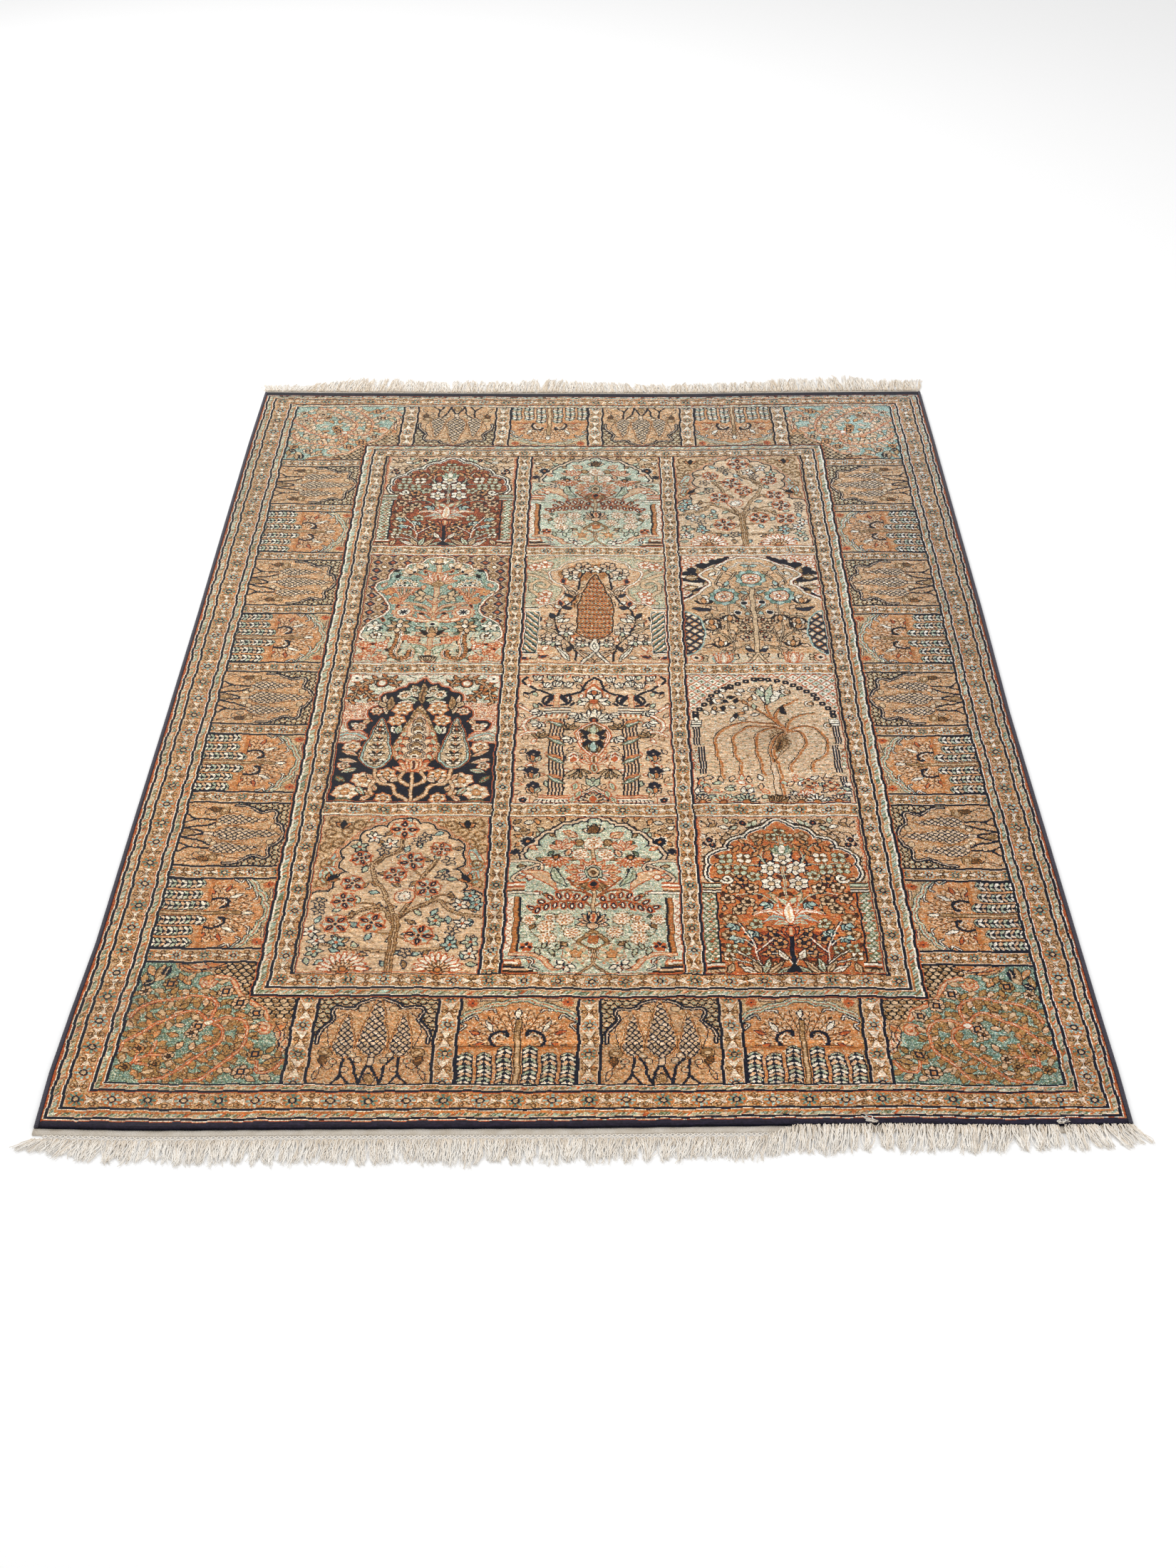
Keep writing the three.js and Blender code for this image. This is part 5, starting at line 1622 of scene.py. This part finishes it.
def light_of(rgb):
    """Screen colour out of 255 as the linear colour that a shader takes."""
    c = np.array(rgb) / 255
    linear = np.where(c <= 0.04045, c / 12.92, ((c + 0.055) / 1.055) ** 2.4)
    return (*linear.tolist(), 1.0)


def finish_material(colour, rough, normal=None, **constants):
    """Closes the material that is being made: Principled surface with constants on its own sockets."""
    shader = Val.node("ShaderNodeBsdfPrincipled", Base_Color=colour, Roughness=rough)
    for key, value in constants.items():
        shader.inputs[key.replace("_", " ")].default_value = value
    if normal is not None:
        Val.tree.links.new(normal.socket, shader.inputs["Normal"])
    out = Val.node("ShaderNodeOutputMaterial")
    Val.tree.links.new(shader.outputs[0], out.inputs[0])


def start_material(name):
    """Empty material whose nodes are made next."""
    material = bpy.data.materials.new(name)
    material.use_nodes = True
    material.node_tree.nodes.clear()
    Val.tree = material.node_tree
    return material


def bump(height, distance, strength=1.0):
    """Normal of a surface with so high a relief."""
    made = Val.node("ShaderNodeBump", Height=height, Distance=distance, Strength=strength)
    return Val(made.outputs[0])


# Pile

KNOTS_A_FACE = 4
YARN_BASE = 32
FACES_ACROSS = CHART_WIDTH // KNOTS_A_FACE
FACES_ALONG = CHART_LENGTH // KNOTS_A_FACE
UNDER_STEP = 8

# Painted sheen: the silk is tinted more golden towards the front end, a little bluer towards the back and
# bluer along its right side, and greyed by a painted haze of sheen towards the back
FRONT_SHEEN = (0.96, 0.84, 0.77, 1.0)
BACK_SHEEN = (0.96, 0.98, 1.02, 1.0)
RIGHT_SHEEN = (0.94, 1.0, 1.14, 1.0)
PAINTED_SHEEN_HAZE = (186, 172, 160)
MIDDLE_GREY = 0.34

# Stains, brushed places of painted sheen, painted shade along the sides and in creases and folds, and
# painted highlights on creases and ripple crests: x, y, half width, half length (m), change of brightness
STAINS_AND_PAINTED_LIGHT = (
    (0.0, 0.49, 0.13, 0.14, -0.25),
    (0.26, -0.16, 0.1, 0.12, -0.22),
    (0.0, 0.1, 0.5, 0.6, 0.02),
    # Painted shade along the right side and near the back of the left side
    (0.62, 0.1, 0.16, 1.1, -0.16),
    (-0.62, 0.62, 0.16, 0.5, -0.14),
    # Painted highlight along the front crease, and a line of painted shade beside it
    (0.0, -0.769, 0.9, 0.006, 0.35),
    (0.0, -0.777, 0.9, 0.002, -0.5),
    # Painted shade in three folds near the back end
    (-0.47, 0.865, 0.08, 0.02, -0.3),
    (-0.45, 0.79, 0.08, 0.02, -0.25),
    (0.48, 0.8, 0.12, 0.018, -0.3),
    (0.5, 0.76, 0.16, 0.14, 0.12),
    # Painted highlight on a ripple's crest near the back end
    (-0.1, 0.843, 0.6, 0.006, 0.25),
    (0.0, 0.85, 0.9, 0.1, 0.1),
    (0.13, 0.49, 0.3, 0.2, -0.07),
    (-0.13, -0.5, 0.3, 0.2, -0.07),
    (0.25, -0.5, 0.2, 0.2, 0.09),
    (0.0, -0.87, 0.9, 0.05, 0.08),
    (-0.56, -0.67, 0.07, 0.002, -0.5),
    (-0.56, -0.265, 0.07, 0.002, -0.5),
)


def spot(x, y, wide, long):
    """Soft spot: 1 at (x, y), falling off over wide across and long along the rug."""
    across, along, _ = parts(object_place())
    reach = ((across - x - SHIFT_X) / wide) ** 2 + ((along - y - SHIFT_Y) / long) ** 2
    return (1 - reach).most(0) ** 2


def stains_and_painted_light_tone():
    """Brightness of the silk from the table of spots: stains, brushed places of painted sheen, painted
    shade in creases and folds, and painted highlights on them.
    """
    tone = 1.0
    for x, y, wide, long, change in STAINS_AND_PAINTED_LIGHT:
        tone = tone + spot(x, y, wide, long) * change
    return tone


def knot_yarn():
    """Number of the yarn at a knot: its face's code for its row has the row's yarns as digits."""
    across, up, _ = parts(Val(Val.node("ShaderNodeUVMap", {"uv_map": "Knots"}).outputs[0]))
    column = (across * KNOTS_A_FACE).floor().least(KNOTS_A_FACE - 1)
    row = (up * KNOTS_A_FACE).floor().least(KNOTS_A_FACE - 1)
    code = attribute("knots_0") * (row < 0.5)
    for k in range(1, KNOTS_A_FACE):
        code = code + attribute(f"knots_{k}") * (row > k - 0.5) * (row < k + 0.5)
    power = 1.0
    for k in range(1, KNOTS_A_FACE):
        power = ((column > k - 0.5) * (YARN_BASE - 1) + 1) * power
    return (code / power).floor() % YARN_BASE


def silk_with_painted_sheen(colour):
    """Colour of the silk with painted sheen: greyed by a painted haze and given more contrast towards the
    back, more golden towards the front, and bluer towards the back and along the right side.
    """
    across, along, _ = parts(object_place())
    colour = mixed(along.spread(-0.5, 0.9, 0.0, 0.1), colour, light_of(PAINTED_SHEEN_HAZE))
    grey = Val(Val.node("ShaderNodeRGBToBW", Color=colour).outputs[0])
    contrast = (grey / MIDDLE_GREY) ** along.spread(-0.9, 0.9, 0.1, 0.6)
    colour = brightened(colour, contrast.least(1.1))
    colour = mixed(along.spread(-0.9, 0.6, 1.0, 0.0), colour, FRONT_SHEEN, "MULTIPLY")
    colour = mixed(along.spread(-0.3, 0.9), colour, BACK_SHEEN, "MULTIPLY")
    return mixed(across.spread(0.0, 0.6), colour, RIGHT_SHEEN, "MULTIPLY")


def silk_pile():
    """Cut silk: the yarn of each knot with painted sheen, then streaks of painted sheen along the brushed
    pile, painted shade between its knots and tufts, and the spots' stains and painted crease light.
    """
    material = start_material("silk_pile")
    yarn = knot_yarn()
    stops = [(k / YARN_BASE, light_of(YARNS[name])) for k, name in enumerate(NAMES)]
    colour = silk_with_painted_sheen(ramp((yarn + 0.5) / YARN_BASE, stops, constant=True))
    streaks = noise(object_place((22, 420, 1)), 1.0, 3.0)
    broad = noise(object_place((5, 9, 1)), 1.0, 3.0)
    knots = noise(object_place((330, 640, 1)), 1.0, 1.0)
    tufts = noise(object_place((120, 240, 1)), 1.0, 2.0)
    # Painted sheen in streaks along the rows and painted shade between knots and tufts, over broad patches
    # of random tone
    shade = streaks.spread(0.3, 0.7, 0.78, 1.22) * broad.spread(0.3, 0.7, 0.9, 1.1)
    shade = shade * knots.spread(0.28, 0.72, 0.5, 1.1) * tufts.spread(0.34, 0.66, 0.68, 1.26)
    colour = brightened(colour, shade * stains_and_painted_light_tone())
    rough = broad.spread(0.3, 0.7, 0.5, 0.68)
    finish_material(colour, rough, bump(knots * 0.6 + streaks * 0.8, 0.0012, 0.5),
                    Sheen_Weight=0.05, Sheen_Roughness=0.4, Specular_IOR_Level=0.15)
    return material


def pile_grid():
    """Top of the pile: the uneven outline filled with a grid, lifted over ripples and creases."""
    u, v = np.meshgrid(np.linspace(0, 1, FACES_ACROSS + 1), np.linspace(0, 1, FACES_ALONG + 1))
    x, y = knotted_place(u, v, CORD_WIDTH + SEAM)
    ground = hump_rise(RIPPLES, x, y)
    top = PILE_HEIGHT + ground + hump_rise(CREASES, x, y)
    return x + SHIFT_X, y + SHIFT_Y, top, ground


def coarse_cells(columns, rows, step):
    """Underside as cells of several steps, each going round through the rim's own points, so that the
    sheet closes without a fine grid below."""
    cells = []
    for j in range(0, rows, step):
        for i in range(0, columns, step):
            right, far = i + step, j + step
            cell = [(i, j)]
            cell += [(i, k) for k in range(j + 1, far)] if i == 0 else []
            cell += [(i, far)]
            cell += [(k, far) for k in range(i + 1, right)] if far == rows else []
            cell += [(right, far)]
            cell += [(right, k) for k in range(far - 1, j, -1)] if right == columns else []
            cell += [(right, j)]
            cell += [(k, j) for k in range(right - 1, i, -1)] if j == 0 else []
            cells.append(cell)
    return cells


def pile_faces(number):
    """Faces of the closed sheet: squares on top, walls round the rim and coarse cells below, and the places
    of the top's grid that have a point below them."""
    quads = np.stack([number[:-1, :-1], number[:-1, 1:], number[1:, 1:], number[1:, :-1]], -1)
    rim = np.concatenate([number[0, :-1], number[:-1, -1], number[-1, :0:-1], number[:0:-1, 0]])
    cells = coarse_cells(FACES_ACROSS, FACES_ALONG, UNDER_STEP)
    cells = [[int(number[j, i]) for i, j in cell] for cell in cells]
    kept = sorted({place for cell in cells for place in cell})
    under = {place: number.size + k for k, place in enumerate(kept)}
    walls = [[under[p], under[q], q, p] for p, q in zip(rim.tolist(), np.roll(rim, -1).tolist())]
    below = [[under[place] for place in cell] for cell in cells]
    return quads.reshape(-1, 4).tolist(), walls, below, kept


def write_knots(mesh, tops):
    """Codes of the faces on top, one for each row of their knots, and the map Knots, in which each of these
    faces is a whole unit square."""
    chart = knot_chart()[::-1].astype(np.float64)
    blocks = chart.reshape(FACES_ALONG, KNOTS_A_FACE, FACES_ACROSS, KNOTS_A_FACE)
    weights = YARN_BASE ** np.arange(KNOTS_A_FACE)
    for k in range(KNOTS_A_FACE):
        values = np.zeros(len(mesh.polygons), np.float32)
        values[:tops] = (blocks[:, k] * weights).sum(-1).ravel()
        mesh.attributes.new(f"knots_{k}", "FLOAT", "FACE").data.foreach_set("value", values)
    unit = np.zeros((len(mesh.loops), 2), np.float32)
    unit[:4 * tops] = np.tile([(0, 0), (1, 0), (1, 1), (0, 1)], (tops, 1))
    mesh.uv_layers.new(name="Knots").data.foreach_set("uv", unit.ravel())


# Shares of the height of the pile's flat map: the top, the strip of the walls, the underside
TOP_SHARE = 0.93
WALL_FROM, WALL_TO = 0.936, 0.942
UNDER_FROM, UNDER_SHARE = 0.948, 0.05


def write_flat_map(mesh, tops, walls, kept):
    """The map OFBake, in which no two faces overlap: the top, the walls in one strip, the underside."""
    u, v = np.meshgrid(np.linspace(0, 1, FACES_ACROSS + 1), np.linspace(0, 1, FACES_ALONG + 1))
    places = np.stack([u, v], -1).reshape(-1, 2)
    corner = np.zeros(len(mesh.loops), np.int32)
    mesh.loops.foreach_get("vertex_index", corner)
    flat = np.vstack([places, places[kept]])[corner] * (1, TOP_SHARE)
    run = np.arange(walls) / walls
    after = run + 1 / walls
    low, high = np.full(walls, WALL_FROM), np.full(walls, WALL_TO)
    strip = np.stack([run, low, after, low, after, high, run, high], 1)
    flat[4 * tops:4 * (tops + walls)] = strip.reshape(-1, 2)
    beneath = flat[4 * (tops + walls):]
    beneath[:, 1] = UNDER_FROM + beneath[:, 1] / TOP_SHARE * UNDER_SHARE
    mesh.uv_layers.new(name="OFBake").data.foreach_set("uv", flat.astype(np.float32).ravel())


def make_pile():
    """Pile as one closed sheet: fine top, walls round the rim and a coarse underside."""
    x, y, top, ground = pile_grid()
    quads, walls, below, kept = pile_faces(np.arange(x.size).reshape(x.shape))
    points = np.stack([x, y, top], -1).reshape(-1, 3)
    low = np.stack([x, y, ground], -1).reshape(-1, 3)[kept]
    piece = new_piece("pile_silk", np.vstack([points, low]), quads + walls + below, silk_pile())
    mesh = piece.data
    mesh.materials.append(foundation())
    face = np.arange(len(mesh.polygons))
    mesh.polygons.foreach_set("material_index", (face >= len(quads) + len(walls)).astype(np.int32))
    mesh.polygons.foreach_set("use_smooth", face < len(quads))
    write_knots(mesh, len(quads))
    write_flat_map(mesh, len(quads), len(walls), kept)
    return piece


# Radians a metre of the rows and of the ticks on the rug's back
BACK_ROWS = 3400.0
BACK_TICKS = 4200.0


def foundation():
    """Underside: the knots' backs in rows, in the pile's mean tan with cotton between."""
    material = start_material("knotted_back")
    place = object_place()
    x, y, _ = parts(place)
    rows = (y * BACK_ROWS).sine()
    ticks = (x * BACK_TICKS).sine()
    blotch = noise(place, 30.0, 4.0, 0.7)
    colour = ramp(blotch, ((0.3, light_of((120, 84, 58))), (0.45, light_of((178, 132, 96))),
                           (0.6, light_of((206, 176, 140))), (0.75, light_of((92, 84, 92)))))
    shade = rows.spread(-1, 1, 0.8, 1.1) * ticks.spread(-1, 1, 0.92, 1.05)
    finish_material(brightened(colour, shade), 0.8, bump(rows, 0.0003), Sheen_Weight=0.1)
    return material


# Overcast sides

WRAP_PITCH = 0.0024
CORD_HALF_HEIGHT = 0.0028
CORD_RINGS, CORD_SIDES = 721, 12


def navy_yarn():
    """Blue yarn wrapped round the side cords: slanting wraps with fine fibres and a soft sheen."""
    material = start_material("navy_overcasting")
    place = object_place()
    x, y, _ = parts(place)
    wraps = ((y + x * 0.3) * (2 * math.pi / WRAP_PITCH)).sine()
    tone = noise(place, 40.0, 3.0)
    fibres = noise(object_place((2600, 500, 2600)), 1.0, 2.0)
    colour = mixed(tone.spread(0.3, 0.7), light_of((28, 24, 40)), light_of((52, 46, 62)))
    colour = brightened(colour, wraps.spread(-1, 1, 0.7, 1.2) * fibres.spread(0.3, 0.7, 0.85, 1.2))
    height = wraps * 0.5 + fibres * 0.3
    finish_material(colour, tone.spread(0.3, 0.7, 0.5, 0.65), bump(height, 0.0004),
                    Sheen_Weight=0.12, Sheen_Roughness=0.4)
    return material


def make_cord(side, material):
    """Side cord: a flattened round section carried along the edge, swelling at every few wraps."""
    v = np.linspace(0, 1, CORD_RINGS)
    edge_x, edge_y = knotted_place(np.full_like(v, 0.0 if side == "left" else 1.0), v)
    start = edge_x if side == "left" else edge_x - CORD_WIDTH
    angle = np.linspace(0, 2 * math.pi, CORD_SIDES + 1)[:-1]
    ring = np.arange(CORD_RINGS)
    swell = 1 + 0.03 * np.sin(ring * 2.4) + 0.02 * np.sin(ring * 0.37)
    half_width = CORD_WIDTH / 2
    section_x = np.sign(np.cos(angle)) * abs(np.cos(angle)) ** 0.8 * half_width
    section_z = np.sign(np.sin(angle)) * abs(np.sin(angle)) ** 0.8 * CORD_HALF_HEIGHT
    x = start[:, None] + half_width + section_x * np.minimum(swell, 1)[:, None] + SHIFT_X
    y = np.repeat(edge_y[:, None], CORD_SIDES, 1) + SHIFT_Y
    z = CORD_HALF_HEIGHT + section_z * swell[:, None]
    points = np.stack([x, y, np.maximum(z, 0)], -1).reshape(-1, 3)
    return new_piece(f"cord_{side}", points, tube_faces(1, CORD_RINGS, CORD_SIDES), material)


def tube_faces(count, rings, sides):
    """Faces of many like tubes whose points run ring by ring, with both ends closed."""
    ring, side = np.meshgrid(np.arange(rings - 1), np.arange(sides), indexing="ij")
    nxt = (side + 1) % sides
    quad = np.stack([ring * sides + side, (ring + 1) * sides + side, (ring + 1) * sides + nxt,
                     ring * sides + nxt], -1).reshape(-1, 4)
    base = np.arange(count)[:, None, None] * rings * sides
    walls = (quad[None] + base).reshape(-1, 4).tolist()
    near = (np.arange(sides)[None] + base[:, :, 0]).tolist()
    far = ((rings - 1) * sides + np.arange(sides)[::-1][None] + base[:, :, 0]).tolist()
    return walls + near + far


# End webs

WEFT_PITCH = 0.0011
WARP_PITCH = 0.0016
WEB_COLUMNS, WEB_ROWS = 241, 7


def woven_web():
    """Undyed plain weave: fine wefts along the strip over warps."""
    material = start_material("woven_web")
    place = object_place()
    x, y, _ = parts(place)
    wefts = (y * (2 * math.pi / WEFT_PITCH)).sine()
    warps = (x * (2 * math.pi / WARP_PITCH)).sine()
    tone = noise(place, 60.0, 3.0)
    colour = mixed(tone.spread(0.35, 0.7), light_of((244, 234, 220)), light_of((222, 208, 188)))
    colour = brightened(colour, wefts.spread(-1, 1, 0.86, 1.05) * warps.spread(-1, 1, 0.95, 1.03))
    finish_material(colour, 0.85, bump(wefts + warps * 0.5, 0.0003), Sheen_Weight=0.1)
    return material


def make_web(end, material):
    """End web: a thin strip beside the knotted part's end line, its top slightly crowned and wavy."""
    u, w = np.meshgrid(np.linspace(0, 1, WEB_COLUMNS), np.linspace(0, 1, WEB_ROWS), indexing="ij")
    edge_x, edge_y = knotted_place(u, np.full_like(u, 0.0 if end == "front" else 1.0))
    outwards = -1 if end == "front" else 1
    y = edge_y + outwards * (SEAM + WEB_WIDTH * w) + SHIFT_Y
    x = edge_x + SHIFT_X
    height = 0.0016 + 0.0006 * np.sin(math.pi * w) + 0.0002 * np.sin(x * 160 + w * 3)
    top = np.stack([x, y, height], -1).reshape(-1, 3)
    low = np.stack([x, y, np.zeros_like(x)], -1).reshape(-1, 3)
    faces = slab_faces(WEB_COLUMNS, WEB_ROWS, outwards > 0)
    return new_piece(f"web_{end}_strip", np.vstack([top, low]), faces, material)


def slab_faces(rows, columns, turned):
    """Faces of a closed slab whose top and underside share a grid of places."""
    number = np.arange(rows * columns).reshape(rows, columns)
    low = number + rows * columns
    faces = []
    for grid, turn in ((number, turned), (low, not turned)):
        quad = np.stack([grid[:-1, :-1], grid[1:, :-1], grid[1:, 1:], grid[:-1, 1:]], -1).reshape(-1, 4)
        faces.append(quad if turn else quad[:, ::-1])
    for p, q in ((number[:, 0], low[:, 0]), (number[::-1, -1], low[::-1, -1]),
                 (number[0, ::-1], low[0, ::-1]), (number[-1], low[-1])):
        wall = np.stack([p[:-1], q[:-1], q[1:], p[1:]], -1)
        faces.append(wall if turned else wall[:, ::-1])
    return np.vstack(faces).tolist()


# Fringes

def warp_yarn():
    """Undyed twisted warp ends, cream, with painted tan shade on some strands, as between strands, and
    towards the knots.
    """
    material = start_material("warp_fringe")
    place = object_place()
    tone = noise(place, 90.0, 3.0)
    strand_tone_and_painted_shade = attribute("strand_tone_and_painted_shade")
    colour = mixed(strand_tone_and_painted_shade, light_of((255, 250, 242)), light_of((226, 208, 184)))
    colour = brightened(colour, tone.spread(0.3, 0.7, 0.9, 1.06))
    twist = noise(object_place((1500, 500, 1500)), 1.0, 2.0)
    finish_material(colour, 0.75, bump(twist, 0.0004), Sheen_Weight=0.15)
    return material


# Fringe by place across: across, front length, front lean, back length, back lean
TUFTS = np.array((
    (-0.625, 0.014, -0.016, 0.024, -0.002),
    (-0.560, 0.030, -0.006, 0.024, 0.003),
    (-0.450, 0.035, 0.003, 0.055, 0.006),
    (-0.280, 0.034, -0.002, 0.042, -0.004),
    (-0.080, 0.036, 0.002, 0.052, 0.003),
    (0.080, 0.034, -0.004, 0.034, -0.003),
    (0.260, 0.032, -0.007, 0.038, 0.004),
    (0.470, 0.027, -0.005, 0.056, -0.003),
    (0.560, 0.026, 0.004, 0.044, 0.003),
    (0.625, 0.018, 0.017, 0.042, 0.005),
))

BUNDLES = 190
STRANDS = 10
FRINGE_RINGS = 9
BUNDLE_PITCH = KNOTTED_WIDTH / BUNDLES

# Net of knots at the front: its depth and the distance of its rows in metres, and its shade
NET_DEPTH = 0.0055
NET_ROW = 0.0028
NET_TINT = 0.25


def fringe_tubes(x, y, z, radius):
    """Points of four-sided strands, a flat side up, round paths of one row of places each."""
    angle = (np.arange(4) + 0.5) * math.pi / 2
    px = x[..., None] + radius[..., None] * np.cos(angle)
    pz = np.maximum(z[..., None] + radius[..., None] * np.sin(angle), 0)
    py = np.repeat(y[..., None], 4, -1)
    return np.stack([px + SHIFT_X, py + SHIFT_Y, pz], -1)


def loose_strands(rng, front):
    """Points and tints of the loose warp ends. Each runs out from its knot, leans and waves by smooth
    random amounts, thins and curls at its tip, and settles on the floor. On the right of the front they are
    pushed up over the web, and two tufts lie back on the pile."""
    outwards, column = (-1, 1) if front else (1, 3)
    bundle = np.repeat(np.arange(BUNDLES), STRANDS)
    many = bundle.size
    root_x, root_y = knotted_place((bundle + 0.5) / BUNDLES, np.full(many, 0.0 if front else 1.0))
    length = np.interp(root_x, TUFTS[:, 0], TUFTS[:, column])
    lean = np.interp(root_x, TUFTS[:, 0], TUFTS[:, column + 1]) + rng.normal(0, 0.004, BUNDLES)[bundle]
    pushed = np.clip((root_x - 0.2) / 0.04, 0, 1) * front
    net = NET_DEPTH * front * (1 - pushed)
    reach = (length + 0.004) * rng.uniform(0.8, 1.08, many) * rng.uniform(0.88, 1.1, BUNDLES)[bundle]
    start = HEADING * (1 - pushed) + net + 0.0015 * rng.random(many)
    reach = reach - net + 0.004 * pushed
    turned_back = ((abs(root_x - 0.33) < 0.004) | (abs(root_x - 0.54) < 0.005)) & front
    reach = np.where(turned_back, -0.011 * rng.random(many), reach)
    t = np.linspace(0, 1, FRINGE_RINGS)[None]
    wave = rng.normal(0, 0.0011, (3, many, 1))
    x = (root_x + rng.uniform(-0.0032, 0.0032, many))[:, None] + lean[:, None] * t ** 1.3
    x = x + rng.uniform(-0.003, 0.003, (many, 1)) * t + 1.6 * wave[0] * np.sin(math.pi * t)
    x = x + wave[1] * np.sin(2 * math.pi * t) + 0.7 * wave[2] * np.sin(3.4 * math.pi * t)
    run = t - 0.05 * rng.random((many, 1)) * t ** 4
    y = root_y[:, None] + outwards * (start[:, None] + reach[:, None] * run)
    layer = rng.random((many, 1))
    lift = 0.0012 + 0.002 * layer + 0.002 * pushed[:, None] + 0.0034 * turned_back[:, None]
    z = lift * (1 - t) ** 1.4 + (0.0006 + 0.0014 * layer + 0.0066 * turned_back[:, None]) * t
    z = z + 0.0012 * rng.random((many, 1)) * np.sin(math.pi * t)
    radius = (0.0005 + 0.00025 * rng.random(many))[:, None] * (1 - 0.25 * t ** 4)
    # Painted shade: tan on strands at random, as between strands, and more towards the knots
    strand_tone_and_painted_shade = (0.7 if front else 1.3) * rng.random((many, 1)) ** 2 + 0.5 * (1 - t) ** 4
    return fringe_tubes(x, y, z, radius), strand_tone_and_painted_shade


def netted_knots():
    """Net at the front: legs from each bundle to its neighbours, row after row, up to where the fringe is
    pushed up."""
    leg = np.arange(4 * BUNDLES)
    row, hand = leg // 2 % 2, leg % 2 * 2 - 1
    s = np.linspace(0, 1, FRINGE_RINGS)[None]
    knot_x, knot_y = knotted_place((leg // 4 + 0.5 + 0.5 * row) / BUNDLES, np.zeros(leg.size))
    x = knot_x[:, None] + hand[:, None] * BUNDLE_PITCH / 2 * s
    y = knot_y[:, None] - (HEADING + NET_ROW * (row[:, None] + s))
    z = 0.0017 + 0.0005 * np.sin(math.pi * s) + 0 * x
    radius = 0.0007 + 0.0004 * s + 0 * x
    kept = (knot_x < 0.22) & (abs(knot_x) < 0.61)
    return fringe_tubes(x, y, z, radius)[kept]


def make_fringe(end, material, seed):
    """Fringe: bundles of twisted warp ends past the web, at the front out of a net of knots."""
    front = end == "front"
    points, strand_tones_and_painted_shade = loose_strands(np.random.default_rng(seed), front)
    if front:
        net = netted_knots()
        points = np.concatenate([points, net])
        strand_tones_and_painted_shade = np.concatenate([strand_tones_and_painted_shade, np.full(net.shape[:2], NET_TINT)])
    faces = tube_faces(len(points), FRINGE_RINGS, 4)
    piece = new_piece(f"fringe_{end}_strands", points.reshape(-1, 3), faces, material)
    strand_tones_and_painted_shade = np.repeat(strand_tones_and_painted_shade.ravel(), 4).astype(np.float32)
    piece.data.attributes.new("strand_tone_and_painted_shade", "FLOAT", "POINT").data.foreach_set("value", strand_tones_and_painted_shade)
    return piece


# Floor, light and camera

FLOOR_REACH = 30.0
FLOOR_DROP = 0.0004
CAMERA_PLACE = (0.02518, -2.25065, 1.60181)
CAMERA_PITCH, CAMERA_YAW, CAMERA_ROLL = 39.046, 0.744, -0.4586
CAMERA_LENS = 41.73


def make_floor():
    """White floor, not a part of the rug."""
    mesh = bpy.data.meshes.new("floor")
    s = FLOOR_REACH
    mesh.from_pydata([(-s, -s, 0), (s, -s, 0), (s, s, 0), (-s, s, 0)], [], [(0, 1, 2, 3)])
    floor = bpy.data.objects.new("floor", mesh)
    bpy.context.scene.collection.objects.link(floor)
    material = start_material("floor_white")
    finish_material((0.97, 0.97, 0.97, 1), 0.9)
    mesh.materials.append(material)
    floor.location.z = -FLOOR_DROP


def soft_light(name, place, target, size, power):
    """Rectangular lamp turned towards its target."""
    data = bpy.data.lights.new(name, "AREA")
    data.shape = "RECTANGLE"
    data.size, data.size_y = size
    data.energy = power
    lamp = bpy.data.objects.new(name, data)
    lamp.location = place
    lamp.rotation_euler = (Vector(target) - Vector(place)).to_track_quat("-Z", "Y").to_euler()
    bpy.context.scene.collection.objects.link(lamp)


def make_camera():
    """Camera solved from the rug's four corners in the photo: place, pitch, yaw, roll and lens."""
    pitch, yaw, roll = (math.radians(a) for a in (CAMERA_PITCH, CAMERA_YAW, CAMERA_ROLL))
    forward = Vector((-math.sin(yaw) * math.cos(pitch), math.cos(yaw) * math.cos(pitch), -math.sin(pitch)))
    right = Vector((math.cos(yaw), math.sin(yaw), 0))
    up = right.cross(forward)
    turned_right = right * math.cos(roll) + up * math.sin(roll)
    turned_up = up * math.cos(roll) - right * math.sin(roll)
    data = bpy.data.cameras.new("camera")
    data.lens = CAMERA_LENS
    data.sensor_width = 36.0
    camera = bpy.data.objects.new("camera", data)
    axes = Matrix((turned_right, turned_up, -forward)).transposed().to_4x4()
    x, y, z = CAMERA_PLACE
    camera.matrix_world = Matrix.Translation((x + SHIFT_X, y + SHIFT_Y, z)) @ axes
    bpy.context.scene.collection.objects.link(camera)
    bpy.context.scene.camera = camera


def make_light():
    """Pale surroundings and two large soft lamps."""
    world = bpy.data.worlds.new("studio")
    bpy.context.scene.world = world
    world.use_nodes = True
    background = world.node_tree.nodes["Background"]
    background.inputs["Color"].default_value = (1, 1, 1, 1)
    background.inputs["Strength"].default_value = 0.72
    soft_light("key", (-1.6, 1.8, 2.6), (0, 0, 0), (2.4, 2.4), 60)
    soft_light("fill", (2.0, -1.6, 2.8), (0, 0, 0), (2.6, 2.6), 30)
    bpy.context.scene.view_settings.view_transform = "Standard"


make_camera()
make_light()
make_floor()

pile = make_pile()
navy = navy_yarn()
cords = [make_cord(side, navy) for side in ("left", "right")]
cloth = woven_web()
webs = [make_web(end, cloth) for end in ("front", "back")]
yarn = warp_yarn()
fringes = [make_fringe(end, yarn, seed) for end, seed in (("front", 5), ("back", 8))]

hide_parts("pile")
for side, cord in zip(("left", "right"), cords):
    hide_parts(f"selvedge_{side}")
for end, web, fringe in zip(("front", "back"), webs, fringes):
    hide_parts(f"web_{end}")
    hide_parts(f"fringe_{end}")
for piece in (pile, *cords, *webs, *fringes):
    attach(piece, "root")
